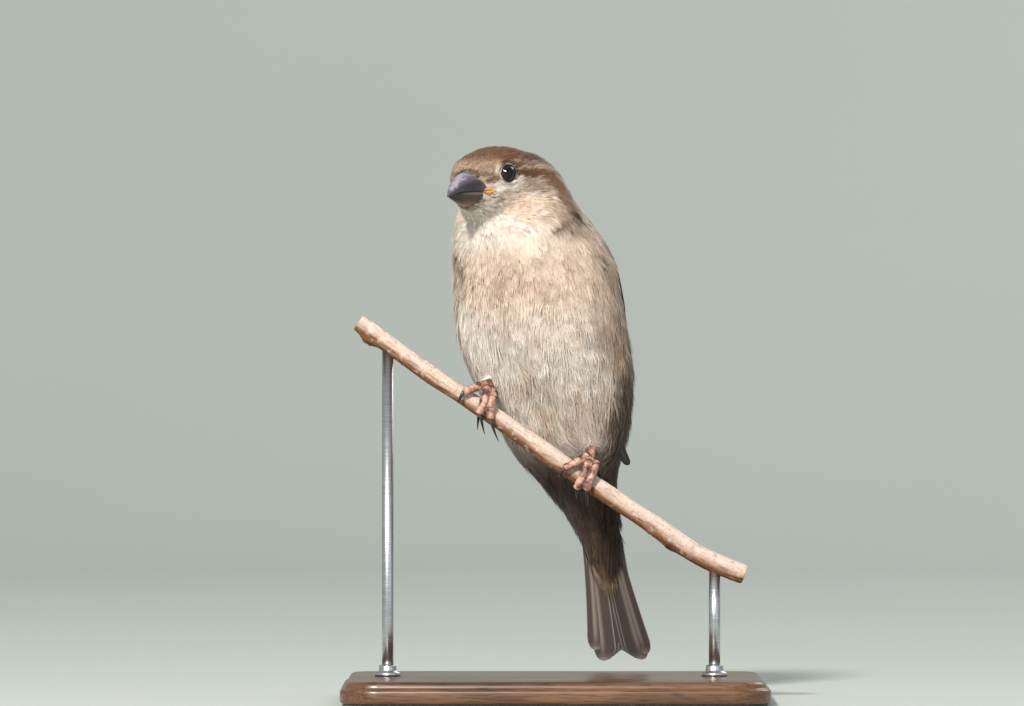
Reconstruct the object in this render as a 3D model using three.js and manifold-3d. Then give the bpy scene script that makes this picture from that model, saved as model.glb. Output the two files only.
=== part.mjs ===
// Female house sparrow on a cut length of branch, held over a wooden base by two metal rods.
// Millimetres, +Z up. The origin is the middle of the base's underside. The bird faces -Y,
// turned a little towards -X; its own left side is towards +X.
import * as THREE from "three";
import { mergeVertices } from "three/addons/utils/BufferGeometryUtils.js";
import Module from "manifold-3d";

const wasm = await Module();
wasm.setup();

// ---------------------------------------------------------------- driving dimensions, mm

const GAP = 0.3; // clear space between neighbouring pieces
const BODY_TURN = 20; // degrees, trunk turned to the bird's right
const HEAD_TURN = 32; // degrees, head turned further to the same side

// Trunk and neck, outline over the feathers, in level sections from the nape to the tail coverts.
// height, middle x, middle y, half width, depth to the breast, depth to the back
const BODY = [
  [144.2, -9.6, -6.0, 2.0, 2.0, 2.0],
  [142.6, -9.5, -6.0, 6.5, 6.0, 6.0],
  [139.0, -9.6, -6.0, 11.2, 10.0, 10.0],
  [134.5, -10.0, -6.0, 14.2, 13.0, 12.6],
  [129.0, -9.6, -5.2, 17.0, 15.2, 15.0],
  [123.0, -7.7, -3.8, 20.2, 17.4, 16.8],
  [115.0, -5.6, -1.4, 22.2, 19.6, 18.2],
  [106.0, -4.4, 1.3, 22.9, 21.0, 18.8],
  [96.0, -3.3, 5.0, 23.2, 21.0, 18.2],
  [86.0, -1.0, 9.4, 22.4, 17.8, 16.2],
  [76.0, 1.5, 13.0, 19.4, 13.6, 14.0],
  [66.0, 3.3, 15.8, 15.6, 10.2, 12.2],
  [57.0, 6.4, 18.6, 10.4, 7.6, 9.4],
  [48.0, 10.4, 21.6, 7.4, 5.2, 6.0],
  [39.5, 13.0, 24.8, 5.8, 2.7, 2.8],
  [35.5, 14.0, 26.5, 3.2, 1.3, 1.3],
];
const NECK_CUT = 126; // height where the neck parts from the trunk

// Head, sections square to the bill's line, from the face back to the nape.
// distance behind the bill's tip, half width, height of the widest line, crown, throat
const BILL_TIP = new THREE.Vector3(-28.0, -30.5, 132.8);
const HEAD = [
  [8.8, 3.8, 1.8, 4.8, -2.8],
  [10.8, 6.0, 3.2, 7.2, -4.0],
  [13.8, 8.4, 4.6, 9.6, -5.4],
  [17, 10.0, 4.9, 11.5, -6.6],
  [20.5, 11.3, 4.7, 12.9, -7.6],
  [24, 12.0, 4.2, 13.6, -8.4],
  [28, 12.0, 3.8, 13.1, -8.6],
  [32, 10.2, 3.4, 10.6, -7.6],
  [35, 6.6, 3.0, 7.0, -4.0],
  [36.4, 2.4, 3.0, 4.4, 0.8],
];
const CUTTING_EDGE_RISE = 1.2 / 13; // the bill's cutting edge rises this much per mm back

// Bill. distance behind the tip, half width, height of the ridge or depth of the keel
const BILL_UPPER = [
  [0.2, 0.35, 0.35],
  [2, 1.5, 2.0],
  [4.5, 2.7, 3.8],
  [7.5, 3.6, 5.3],
  [10.4, 4.2, 6.2],
  [12.6, 4.2, 6.3],
];
const BILL_LOWER = [
  [0.9, 0.4, -0.55],
  [3, 1.6, -1.25],
  [6, 2.8, -2.0],
  [9.5, 3.7, -2.6],
  [11.8, 3.8, -2.8],
];

const EYE_RADIUS = 3.3;
const EYE_PLACE = { back: 16.5, out: 6.7, up: 5.9 }; // from the bill's tip

// Folded wing, a shell let into the flank. height, front edge and back edge in degrees round
// from the breastbone, lift clear of the body, greatest thickness
const WING = [
  [121.5, 92, 112, 0.5, 1.0],
  [117, 85, 132, 0.6, 1.7],
  [108, 83, 148, 0.7, 2.0],
  [96, 86, 156, 0.7, 2.0],
  [84, 90, 160, 0.8, 2.0],
  [72, 98, 164, 1.1, 2.0],
  [63, 112, 168, 1.3, 1.9],
  [55, 132, 171, 1.6, 1.6],
  [48.5, 148, 172, 1.8, 1.2],
  [45.5, 157, 171, 1.6, 0.9],
];
const FEATHER_EDGE = 0.5; // thinnest edge of a wing

// Tail, a flat fan with a shallow fork, in its own plane
const TAIL_BASE = new THREE.Vector3(10.2, 20.6, 53);
const TAIL_TIP = new THREE.Vector3(18.6, 37.4, 8.9);
const TAIL = { rootHalf: 4.2, waistHalf: 6.0, tipHalf: 9.2, corner: 3, fork: 4.2, thick: 1.1 };

// Perch: middle line of the branch, thinner towards the bird's right
const BRANCH_LINE = [
  [-51.8, 99.6],
  [-30.3, 84.3],
  [-14.5, 73.9],
  [-0.3, 63.9],
  [11.3, 56.1],
  [25, 47.0],
  [38.2, 38.2],
  [50, 33.2],
];
const BRANCH_RADIUS = { left: 2.25, right: 2.65 };
const BARK_WAVER = [
  { size: 0.04, turns: 17 },
  { size: 0.03, turns: 41 },
];
const KNOTS = [
  { at: 0.04, round: 200, size: 1.9, out: 2.6 },
  { at: 0.52, round: 290, size: 1.5, out: 2.0 },
  { at: 0.83, round: 150, size: 1.6, out: 2.1 },
];

// Legs. Each toe: start and end angle over the branch (0 on top, 90 towards the viewer),
// slide along the branch at its start and end, and its claw's slide
const TOE_RADIUS = 0.95;
const TOE_CLEAR = 1.06; // the branch's waver that a toe stays outside
const KNUCKLE_ARCH = 2.2; // how far the root of a toe stands off the bark
const SHANK_RADIUS = { low: 1.15, high: 0.95 };
const CLAW_LENGTH = 5.2;
const CLAW_RADIUS = { root: 0.62, tip: 0.08 };
const CLAW_CURL = 0.035; // sideways drop per square of its length
const LEGS = {
  right: {
    at: [-17.6, -0.6, 82.6],
    hock: [-13.5, 7, 89],
    toes: {
      inner: { from: 5, to: 50, start: -1.2, end: -4.6, claw: -2.6 },
      middle: { from: 15, to: 112, start: 0.0, end: 1.9, claw: 4.6 },
      outer: { from: 15, to: 108, start: 1.4, end: 4.9, claw: 7.6 },
      hind: { from: -20, to: -112, start: 0.2, end: 1.6, claw: 2.6 },
    },
  },
  left: {
    at: [9.3, 0.2, 62.8],
    hock: [10.2, 9, 71],
    toes: {
      inner: { from: 5, to: 62, start: -1.2, end: -5.4, claw: -5.0 },
      middle: { from: 15, to: 134, start: -0.6, end: 0.6, claw: 1.6 },
      outer: { from: 15, to: 120, start: 1.2, end: 3.0, claw: 4.4 },
      hind: { from: -20, to: -112, start: 0.2, end: 1.6, claw: 2.6 },
    },
  },
};

// Stand
const BASE = { width: 112, depth: 90, height: 6.5, corner: 10, chamfer: 0.8 };
const ROD_RADIUS = 1.5;
const ROD_X = { left: -44, right: 42 };

// ---------------------------------------------------------------- materials

const material = (color, roughness, metalness = 0) =>
  new THREE.MeshStandardMaterial({ color, roughness, metalness });
const LOOKS = {
  plumage: material(0xb9a48c, 0.9),
  flight: material(0x5b4a3c, 0.8),
  bill: material(0x5a5258, 0.4),
  eye: material(0x0b0908, 0.08),
  toe: material(0xb98068, 0.6),
  claw: material(0x241c1a, 0.4),
  bark: material(0xc9ae96, 0.85),
  wood: material(0x6b4529, 0.5),
  steel: material(0xb4b6b8, 0.3, 1),
};

// ---------------------------------------------------------------- helpers

const rad = THREE.MathUtils.degToRad;
const vec = (x, y, z) => new THREE.Vector3(x, y, z);

// Forward and left of something turned this far from -Y towards -X.
const heading = (turn) => ({
  forward: vec(-Math.sin(rad(turn)), -Math.cos(rad(turn)), 0),
  left: vec(Math.cos(rad(turn)), -Math.sin(rad(turn)), 0),
});
const TRUNK_WAY = heading(BODY_TURN);
const HEAD_WAY = heading(HEAD_TURN);

// A row of a table at a fraction of its length, smooth through the rows.
function blend(rows, t) {
  const place = THREE.MathUtils.clamp(t, 0, 1) * (rows.length - 1);
  const i = Math.min(Math.floor(place), rows.length - 2);
  const w = place - i;
  const near = (k) => rows[THREE.MathUtils.clamp(k, 0, rows.length - 1)];
  return rows[i].map((_, column) => {
    const [a, b, c, d] = [-1, 0, 1, 2].map((k) => near(i + k)[column]);
    return b + 0.5 * w * (c - a + w * (2 * a - 5 * b + 4 * c - d + w * (3 * (b - c) + d - a)));
  });
}

// The row whose first column reaches a value; that column only falls or only rises.
function rowAt(rows, value) {
  const falling = rows[0][0] > rows[1][0] ? -1 : 1;
  let [low, high] = [0, 1];
  for (let step = 0; step < 30; step += 1) {
    const middle = (low + high) / 2;
    if (falling * (blend(rows, middle)[0] - value) < 0) low = middle;
    else high = middle;
  }
  return blend(rows, (low + high) / 2);
}

function solid(geometry) {
  const bare = geometry.clone();
  bare.deleteAttribute("normal");
  bare.deleteAttribute("uv");
  const merged = mergeVertices(bare, 1e-4);
  return new wasm.Manifold(
    new wasm.Mesh({
      numProp: 3,
      vertProperties: new Float32Array(merged.attributes.position.array),
      triVerts: new Uint32Array(merged.index.array),
    }),
  );
}

function meshOf(name, shape, look) {
  const { vertProperties, triVerts } = shape.getMesh();
  const geometry = new THREE.BufferGeometry();
  geometry.setAttribute("position", new THREE.BufferAttribute(vertProperties, 3));
  geometry.setIndex(new THREE.BufferAttribute(triVerts, 1));
  geometry.computeVertexNormals();
  const mesh = new THREE.Mesh(geometry, look);
  mesh.name = name;
  return mesh;
}

// Closed solid through rings of equal count, with a fan over each end.
function loft(rings) {
  const count = rings[0].length;
  const points = rings.flat();
  const faces = [];
  for (let r = 0; r < rings.length - 1; r += 1) {
    for (let k = 0; k < count; k += 1) {
      const a = r * count + k;
      const b = r * count + ((k + 1) % count);
      faces.push([a, b, b + count], [a, b + count, a + count]);
    }
  }
  [0, rings.length - 1].forEach((r) => {
    const middle = points.length;
    points.push(rings[r].reduce((sum, p) => sum.add(p), vec(0, 0, 0)).divideScalar(count));
    for (let k = 0; k < count; k += 1) {
      const edge = [r * count + k, r * count + ((k + 1) % count)];
      faces.push(r === 0 ? [middle, edge[1], edge[0]] : [middle, ...edge]);
    }
  });
  const volume = faces.reduce(
    (sum, [a, b, c]) => sum + points[a].dot(points[b].clone().cross(points[c])),
    0,
  );
  if (volume < 0) faces.forEach((face) => face.reverse());
  return solid(new THREE.BufferGeometry().setFromPoints(points).setIndex(faces.flat()));
}

// Tube of changing radius through points, with round sections square to its line.
function taperedTube(points, radii, sides) {
  const line = new THREE.CatmullRomCurve3(points);
  const steps = points.length - 1;
  const frames = line.computeFrenetFrames(steps);
  const rings = points.map((_, i) => {
    const middle = line.getPoint(i / steps);
    return Array.from({ length: sides }, (_unused, k) => {
      const angle = (2 * Math.PI * k) / sides;
      return middle
        .clone()
        .addScaledVector(frames.normals[i], radii[i] * Math.cos(angle))
        .addScaledVector(frames.binormals[i], radii[i] * Math.sin(angle));
    });
  });
  return loft(rings);
}

// ---------------------------------------------------------------- trunk and neck

const BODY_SIDES = 30;
const BODY_STEPS = 24;

// Point of the body's surface at a height, an angle from the breastbone towards the left,
// and a distance outside it.
function bodyPoint(height, angle, outside = 0) {
  const [, x, y, side, front, back] = rowAt(BODY, height);
  const along = Math.cos(angle) > 0 ? front : back;
  return vec(x, y, height)
    .addScaledVector(TRUNK_WAY.forward, (along + outside) * Math.cos(angle))
    .addScaledVector(TRUNK_WAY.left, (side + outside) * Math.sin(angle));
}

function bodyLoft(outside = 0) {
  const top = BODY[0][0];
  const bottom = BODY[BODY.length - 1][0];
  const rings = [];
  for (let i = 0; i <= BODY_STEPS; i += 1) {
    const height = blend(BODY, i / BODY_STEPS)[0];
    const level = THREE.MathUtils.clamp(height, bottom, top);
    rings.push(
      Array.from({ length: BODY_SIDES }, (_, k) =>
        bodyPoint(level, (2 * Math.PI * k) / BODY_SIDES, outside),
      ),
    );
  }
  return loft(rings);
}

// Slab of level space between two heights, wide enough to hold the whole bird.
function slab(low, high) {
  const reach = 200;
  return solid(new THREE.BoxGeometry(reach, reach, high - low)).translate([0, 0, (low + high) / 2]);
}

// ---------------------------------------------------------------- head, bill and eyes

const HEAD_SIDES = 24;

// Point of the head's own space: back from the bill's tip, out to the left, up.
const headPoint = (back, out, up) =>
  BILL_TIP.clone()
    .addScaledVector(HEAD_WAY.forward, -back)
    .addScaledVector(HEAD_WAY.left, out)
    .add(vec(0, 0, up));

function headLoft(outside = 0) {
  const steps = 14;
  const squareness = 0.92; // below 1 fills the corners of the oval
  const full = (v) => Math.sign(v) * Math.abs(v) ** squareness;
  const rings = [];
  for (let i = 0; i <= steps; i += 1) {
    const [back, side, belt, crown, throat] = blend(HEAD, i / steps);
    const push = i === 0 ? -outside : i === steps ? outside : 0;
    rings.push(
      Array.from({ length: HEAD_SIDES }, (_, k) => {
        const angle = (2 * Math.PI * k) / HEAD_SIDES;
        const rise = Math.sin(angle) > 0 ? crown - belt : belt - throat;
        return headPoint(
          back + push,
          (side + outside) * full(Math.cos(angle)),
          belt + (rise + outside) * full(Math.sin(angle)),
        );
      }),
    );
  }
  return loft(rings);
}

// Half of the bill: an arch on the cutting edge, upward for the upper half, downward for the lower.
function billHalf(rows, outside = 0) {
  const way = Math.sign(rows[rows.length - 1][2]);
  const steps = 8;
  const arch = 8;
  const rings = [];
  for (let i = 0; i <= steps; i += 1) {
    const [back, side, ridge] = blend(rows, i / steps);
    const push = i === 0 ? -outside : i === steps ? outside : 0;
    const edge = back * CUTTING_EDGE_RISE + (way * GAP) / 2;
    const rise = Math.max(Math.abs(ridge - edge), 0.15);
    const ring = [];
    for (let k = 0; k <= arch; k += 1) {
      const angle = (Math.PI * k) / arch;
      const up = edge + way * ((rise + 2 * outside) * Math.sin(angle) ** 0.9 - outside);
      ring.push(headPoint(back + push, (side + outside) * Math.cos(angle), up));
    }
    rings.push(ring);
  }
  return loft(rings);
}

function eyeball(side, outside = 0) {
  const middle = headPoint(EYE_PLACE.back, side * EYE_PLACE.out, EYE_PLACE.up);
  const ball = new THREE.SphereGeometry(EYE_RADIUS + outside, 14, 8);
  return solid(ball).translate([middle.x, middle.y, middle.z]);
}

// ---------------------------------------------------------------- wings and tail

// Folded wing as a shell that follows the flank. side is 1 for the left wing, -1 for the right.
function wing(side, outside = 0) {
  const steps = 16;
  const across = 7;
  const rings = [];
  for (let i = 0; i <= steps; i += 1) {
    const [height, front, back, lift, thick] = blend(WING, i / steps);
    const push = i === 0 ? outside : i === steps ? -outside : 0;
    const spread = outside * 2.5; // degrees that widen the pocket round the wing
    const outer = [];
    const inner = [];
    for (let k = 0; k <= across; k += 1) {
      const share = k / across;
      const angle = side * rad(front - spread + (back - front + 2 * spread) * share);
      const depth = FEATHER_EDGE + (thick - FEATHER_EDGE) * Math.sin(Math.PI * share) ** 0.6;
      outer.push(bodyPoint(height, angle, lift + outside).setZ(height + push));
      inner.push(bodyPoint(height, angle, lift - depth - outside).setZ(height + push));
    }
    rings.push([...outer, ...inner.reverse()]);
  }
  return loft(rings);
}

// Tail fan in its own plane: x to the bird's left, y towards the tip, thickness along z.
function tail(outside = 0) {
  const length = TAIL_TIP.distanceTo(TAIL_BASE);
  const [root, waist, wide] = [TAIL.rootHalf, TAIL.waistHalf, TAIL.tipHalf].map((w) => w + outside);
  const { corner, fork, thick } = TAIL;
  const lobe = wide / 2;
  const end = length + outside;
  const outline = new THREE.Shape();
  outline.moveTo(-root, -outside);
  outline.bezierCurveTo(-waist, length * 0.22, -waist, length * 0.6, -wide, length - corner);
  outline.quadraticCurveTo(-1.5 * lobe, end + corner / 2, -lobe, end);
  outline.lineTo(0, end - fork);
  outline.lineTo(lobe, end);
  outline.quadraticCurveTo(1.5 * lobe, end + corner / 2, wide, length - corner);
  outline.bezierCurveTo(waist, length * 0.6, waist, length * 0.22, root, -outside);
  outline.closePath();
  const depth = thick + 2 * outside;
  const plate = new THREE.ExtrudeGeometry(outline, { depth, bevelEnabled: false, curveSegments: 8 });
  plate.translate(0, 0, -depth / 2);
  const down = TAIL_TIP.clone().sub(TAIL_BASE).normalize();
  const face = TRUNK_WAY.left.clone().cross(down).normalize();
  const across = down.clone().cross(face);
  plate.applyMatrix4(new THREE.Matrix4().makeBasis(across, down, face).setPosition(TAIL_BASE));
  return solid(plate);
}

// ---------------------------------------------------------------- perch

const branchCurve = new THREE.CatmullRomCurve3(BRANCH_LINE.map(([x, z]) => vec(x, 0, z)));
const BRANCH_LENGTH = branchCurve.getLength();
const branchRadius = (u) => THREE.MathUtils.lerp(BRANCH_RADIUS.left, BRANCH_RADIUS.right, u);

// The branch's own directions at a fraction of its length: along it, up from it, to the viewer.
function branchFrame(u) {
  const share = THREE.MathUtils.clamp(u, 0, 1);
  const along = branchCurve.getTangentAt(share);
  const front = vec(0, -1, 0);
  return {
    middle: branchCurve.getPointAt(share),
    along,
    front,
    over: along.clone().cross(front).negate(),
  };
}

// Fraction of the branch's length where its middle line passes nearest a point.
function branchShare(point) {
  let [low, high] = [0, 1];
  for (let step = 0; step < 40; step += 1) {
    const third = (high - low) / 3;
    const [near, far] = [low + third, high - third].map((u) =>
      branchCurve.getPointAt(u).distanceTo(point),
    );
    if (near > far) low += third;
    else high -= third;
  }
  return (low + high) / 2;
}

function branchSurface(u, degrees, distance) {
  const { middle, over, front } = branchFrame(u);
  return middle
    .addScaledVector(over, distance * Math.cos(rad(degrees)))
    .addScaledVector(front, distance * Math.sin(rad(degrees)));
}

function perch(outside = 0) {
  const steps = 24;
  const sides = 10;
  const rings = [];
  for (let i = 0; i <= steps; i += 1) {
    const u = i / steps;
    const waver = BARK_WAVER.reduce((sum, { size, turns }) => sum + size * Math.sin(turns * u), 1);
    rings.push(
      Array.from({ length: sides }, (_, k) =>
        branchSurface(u, (360 * k) / sides, branchRadius(u) * waver + outside),
      ),
    );
  }
  return KNOTS.reduce((branch, { at, round, size, out }) => {
    const middle = branchSurface(at, round, out);
    const bud = solid(new THREE.SphereGeometry(size, 8, 6)).translate(middle.toArray());
    return branch.add(bud);
  }, loft(rings));
}

// ---------------------------------------------------------------- legs

const TOE_SIDES = 7;
const CLAW_SIDES = 6;

// Middle line of a toe that curls round the branch.
function toeLine(shape, toe) {
  const steps = 7;
  const start = vec(...shape.at);
  const base = branchShare(start);
  const points = [start];
  for (let i = 1; i <= steps; i += 1) {
    const t = i / steps;
    const u = base + (toe.start + (toe.end - toe.start) * t) / BRANCH_LENGTH;
    const arch = KNUCKLE_ARCH * (1 - t) ** 2;
    const distance = branchRadius(u) * TOE_CLEAR + TOE_RADIUS * 1.05 + GAP + arch;
    points.push(branchSurface(u, toe.from + (toe.to - toe.from) * t, distance));
  }
  return points;
}

// Middle line of a claw, which goes on from the end of its toe and hooks in towards the branch.
function clawLine(toe, line) {
  const steps = 6;
  const tip = line[line.length - 1];
  const before = line[line.length - 2];
  const way = tip.clone().sub(before).normalize();
  const { along, middle } = branchFrame(branchShare(tip));
  const inward = middle.clone().sub(tip).projectOnPlane(way).normalize();
  const slide = (toe.claw - toe.end) / CLAW_LENGTH;
  const points = [];
  for (let i = 0; i <= steps; i += 1) {
    const t = (CLAW_LENGTH * i) / steps;
    points.push(
      tip
        .clone()
        .addScaledVector(way, t + GAP)
        .addScaledVector(inward, CLAW_CURL * t * t)
        .addScaledVector(along, slide * t),
    );
  }
  return points;
}

function leg(shape) {
  const [low, high] = [vec(...shape.at), vec(...shape.hock)];
  const shank = taperedTube(
    [low, low.clone().lerp(high, 0.5), high],
    [SHANK_RADIUS.low, SHANK_RADIUS.high, SHANK_RADIUS.high],
    TOE_SIDES,
  );
  return Object.values(shape.toes).reduce((whole, toe) => {
    const line = toeLine(shape, toe);
    const radii = line.map((_, i) => TOE_RADIUS * (1.05 - 0.03 * i));
    return whole.add(taperedTube(line, radii, TOE_SIDES));
  }, shank);
}

function claw(shape, toe) {
  const line = toeLine(shape, toe);
  const points = clawLine(toe, line);
  const radii = points.map((_, i) => {
    const left = 1 - i / (points.length - 1);
    return CLAW_RADIUS.tip + CLAW_RADIUS.root * left ** 0.8;
  });
  return taperedTube(points, radii, CLAW_SIDES);
}

// ---------------------------------------------------------------- stand

function base() {
  const { width, depth, height, corner, chamfer } = BASE;
  const [x, y] = [width / 2 - chamfer, depth / 2 - chamfer];
  const round = corner - chamfer;
  const outline = new THREE.Shape();
  outline.absarc(x - round, y - round, round, 0, Math.PI / 2);
  outline.absarc(round - x, y - round, round, Math.PI / 2, Math.PI);
  outline.absarc(round - x, round - y, round, Math.PI, 1.5 * Math.PI);
  outline.absarc(x - round, round - y, round, 1.5 * Math.PI, 2 * Math.PI);
  const block = new THREE.ExtrudeGeometry(outline, {
    depth: height - 2 * chamfer,
    bevelThickness: chamfer,
    bevelSize: chamfer,
    bevelSegments: 1,
    curveSegments: 5,
  });
  block.translate(0, 0, chamfer);
  return solid(block);
}

function rod(x) {
  const above = branchCurve.getPoints(200).find((point) => point.x > x);
  const length = above.z - BASE.height - GAP;
  const bar = new THREE.CylinderGeometry(ROD_RADIUS, ROD_RADIUS, length, 16);
  bar.rotateX(Math.PI / 2);
  bar.translate(x, 0, BASE.height + GAP + length / 2);
  return solid(bar);
}

// ---------------------------------------------------------------- the whole bird on its stand

const bird = new THREE.Group();
const add = (name, shape, look) => bird.add(meshOf(name, shape, look));

const sides = { left: 1, right: -1 };

const body = [wing(1, GAP), wing(-1, GAP), tail(GAP)].reduce(
  (rest, pocket) => rest.subtract(pocket),
  bodyLoft(),
);
const belowNeck = slab(0, NECK_CUT - GAP / 2);
const aboveNeck = slab(NECK_CUT + GAP / 2, 2 * NECK_CUT);
add("trunk", body.intersect(belowNeck), LOOKS.plumage);
add("neck", body.intersect(aboveNeck).subtract(headLoft(GAP)), LOOKS.plumage);

const face = headLoft()
  .intersect(aboveNeck)
  .subtract(billHalf(BILL_UPPER, GAP))
  .subtract(billHalf(BILL_LOWER, GAP))
  .subtract(eyeball(1, GAP))
  .subtract(eyeball(-1, GAP));
add("head", face, LOOKS.plumage);
add("bill_upper", billHalf(BILL_UPPER), LOOKS.bill);
add("bill_lower", billHalf(BILL_LOWER), LOOKS.bill);

Object.entries(sides).forEach(([name, side]) => {
  const shape = LEGS[name];
  add(`eye_${name}`, eyeball(side), LOOKS.eye);
  add(`wing_${name}`, wing(side), LOOKS.flight);
  add(`leg_${name}`, leg(shape).subtract(bodyLoft(GAP)), LOOKS.toe);
  Object.entries(shape.toes).forEach(([toe, path]) => {
    add(`claw_${name}_${toe}`, claw(shape, path), LOOKS.claw);
  });
});
add("tail", tail(), LOOKS.flight);

add("perch_branch", perch(), LOOKS.bark);
add("stand_base", base(), LOOKS.wood);
Object.entries(ROD_X).forEach(([name, x]) => {
  add(`stand_rod_${name}`, rod(x).subtract(perch(GAP)), LOOKS.steel);
});

export default bird;
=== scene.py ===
"""Looks of a life-size female house sparrow on a cut length of branch, over a wooden base.

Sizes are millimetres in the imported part's own frame: +Z up, the bird facing -Y and turned a little
towards -X, its left side towards +X. make_piece turns them into metres.
"""

import itertools
import math

import bpy
import numpy as np
from mathutils import Matrix, Vector, noise
from mathutils.bvhtree import BVHTree


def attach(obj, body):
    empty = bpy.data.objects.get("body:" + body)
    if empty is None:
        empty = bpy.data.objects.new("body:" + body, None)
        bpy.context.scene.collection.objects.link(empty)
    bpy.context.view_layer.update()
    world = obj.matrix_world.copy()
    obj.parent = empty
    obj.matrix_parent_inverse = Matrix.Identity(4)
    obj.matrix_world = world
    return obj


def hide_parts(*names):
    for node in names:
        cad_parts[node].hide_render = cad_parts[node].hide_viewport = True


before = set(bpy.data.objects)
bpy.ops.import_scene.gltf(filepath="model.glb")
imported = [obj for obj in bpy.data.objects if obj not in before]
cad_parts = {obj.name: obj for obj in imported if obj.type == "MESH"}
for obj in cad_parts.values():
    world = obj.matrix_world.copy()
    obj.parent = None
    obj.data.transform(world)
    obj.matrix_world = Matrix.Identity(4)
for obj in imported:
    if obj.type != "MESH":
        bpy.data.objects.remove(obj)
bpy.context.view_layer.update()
scene = bpy.context.scene

# ---- camera
# A long lens looking level at the middle of the bird, so that the model's sizes read true. The
# distance and the width it takes in fix the lens.

MM = 0.001
VIEW_FROM = (-11.3, -2500.0, 91.6)
VIEW_WIDTH = 269.5
SENSOR = 36.0

camera = bpy.data.objects.new("camera", bpy.data.cameras.new("camera"))
scene.collection.objects.link(camera)
scene.camera = camera
camera.data.sensor_width = SENSOR
camera.data.lens = SENSOR * -VIEW_FROM[1] / VIEW_WIDTH
camera.data.clip_start = 0.05
camera.data.clip_end = 30.0
camera.location = Vector(VIEW_FROM) * MM
camera.rotation_euler = (math.radians(90), 0, 0)

# ---- room
# A pale paper sweep under and behind the model, a broad key light from the upper left as through a
# studio window, and weaker light from the other sides.

PAPER_COLOUR, PAPER_MOTTLE = "c4c9c0", "bcc2b9"
PAPER_HALF_WIDTH = 3000.0
PAPER_FRONT = -3200.0
PAPER_BEND_START, PAPER_BEND, PAPER_BEND_STEPS = 1500.0, 900.0, 24
PAPER_HEIGHT = 3200.0
WORLD_COLOUR, WORLD_STRENGTH = "dfe4ea", 0.6


def linear(code):
    """Linear RGBA of an sRGB hex colour."""
    channels = [int(code[i : i + 2], 16) / 255 for i in (0, 2, 4)]
    return (*(c / 12.92 if c <= 0.04045 else ((c + 0.055) / 1.055) ** 2.4 for c in channels), 1.0)


def rgb(code):
    """Linear RGB of an sRGB hex colour, as an array."""
    return np.array(linear(code)[:3])


def make_material(name, **values):
    """New material whose shader's own sockets are set; more nodes are linked to it afterwards."""
    made = bpy.data.materials.new(name)
    made.use_nodes = True
    shader = made.node_tree.nodes["Principled BSDF"]
    for socket, value in values.items():
        shader.inputs[socket.replace("_", " ")].default_value = value
    return made, made.node_tree, shader


def add_node(tree, kind, settings=None, values=None, links=None, stops=None):
    """Adds one node: its properties, its unlinked inputs, its links, and a ramp's stops."""
    made = tree.nodes.new(kind)
    for key, value in (settings or {}).items():
        setattr(made, key, value)
    for key, value in (values or {}).items():
        made.inputs[key].default_value = value
    for key, source in (links or {}).items():
        tree.links.new(source, made.inputs[key])
    for place, (position, colour) in enumerate(stops or []):
        ramp = made.color_ramp.elements
        stop = ramp[place] if place < len(ramp) else ramp.new(position)
        stop.position, stop.color = position, colour
    return made


def grain_pattern(tree, size, detail=2.0, coarseness=0.5, distortion=0.0):
    """Noise with grains of a size in millimetres: one for all directions, or one each for X, Y and Z."""
    place = add_node(tree, "ShaderNodeTexCoord")
    scale = {"Scale": tuple(1 / (float(axis) * MM) for axis in np.broadcast_to(size, 3))}
    fitted = add_node(tree, "ShaderNodeMapping", values=scale, links={"Vector": place.outputs["Object"]})
    values = {"Scale": 1.0, "Detail": detail, "Roughness": coarseness, "Distortion": distortion}
    return add_node(tree, "ShaderNodeTexNoise", values=values, links={"Vector": fitted.outputs[0]}).outputs[0]


def link_tones(tree, shader, pattern, stops, under=None, amount=1.0):
    """Links a pattern's tones to the shader's colour, over another colour or the piece's own tint."""
    tones = [(place, linear(code)) for place, code in stops]
    tone = add_node(tree, "ShaderNodeValToRGB", links={"Fac": pattern}, stops=tones).outputs[0]
    if under == "tint":
        under = add_node(tree, "ShaderNodeAttribute", {"attribute_name": "tint"}).outputs["Color"]
    if under:
        multiply = {"data_type": "RGBA", "blend_type": "MULTIPLY"}
        tone = add_node(tree, "ShaderNodeMix", multiply, {"Factor": amount}, {6: under, 7: tone}).outputs[2]
    tree.links.new(tone, shader.inputs["Base Color"])


def link_relief(tree, shader, pattern, strength, depth):
    """Links a pattern to the shader as relief so many millimetres deep."""
    values = {"Strength": strength, "Distance": depth * MM}
    relief = add_node(tree, "ShaderNodeBump", values=values, links={"Height": pattern})
    tree.links.new(relief.outputs[0], shader.inputs["Normal"])


def make_piece(name, points, face_sets, material, smooth=True):
    """Mesh object from points in millimetres and arrays of faces, one array for each face size."""
    points = np.asarray(points, float).reshape(-1, 3)
    face_sets = [np.asarray(faces, np.int32) for faces in face_sets if len(faces)]
    counts = [np.full(len(faces), faces.shape[1]) for faces in face_sets]
    sizes = np.concatenate(counts)
    corners = np.concatenate([faces.ravel() for faces in face_sets])
    mesh = bpy.data.meshes.new(name)
    mesh.vertices.add(len(points))
    mesh.vertices.foreach_set("co", (points * MM).astype(np.float32).ravel())
    mesh.loops.add(len(corners))
    mesh.loops.foreach_set("vertex_index", corners)
    mesh.polygons.add(len(sizes))
    starts = np.concatenate([[0], np.cumsum(sizes)[:-1]])
    mesh.polygons.foreach_set("loop_start", starts.astype(np.int32))
    mesh.update(calc_edges=True)
    mesh.validate()
    mesh.polygons.foreach_set("use_smooth", np.full(len(sizes), smooth))
    mesh.materials.append(material)
    made = bpy.data.objects.new(name, mesh)
    scene.collection.objects.link(made)
    return made


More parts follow.
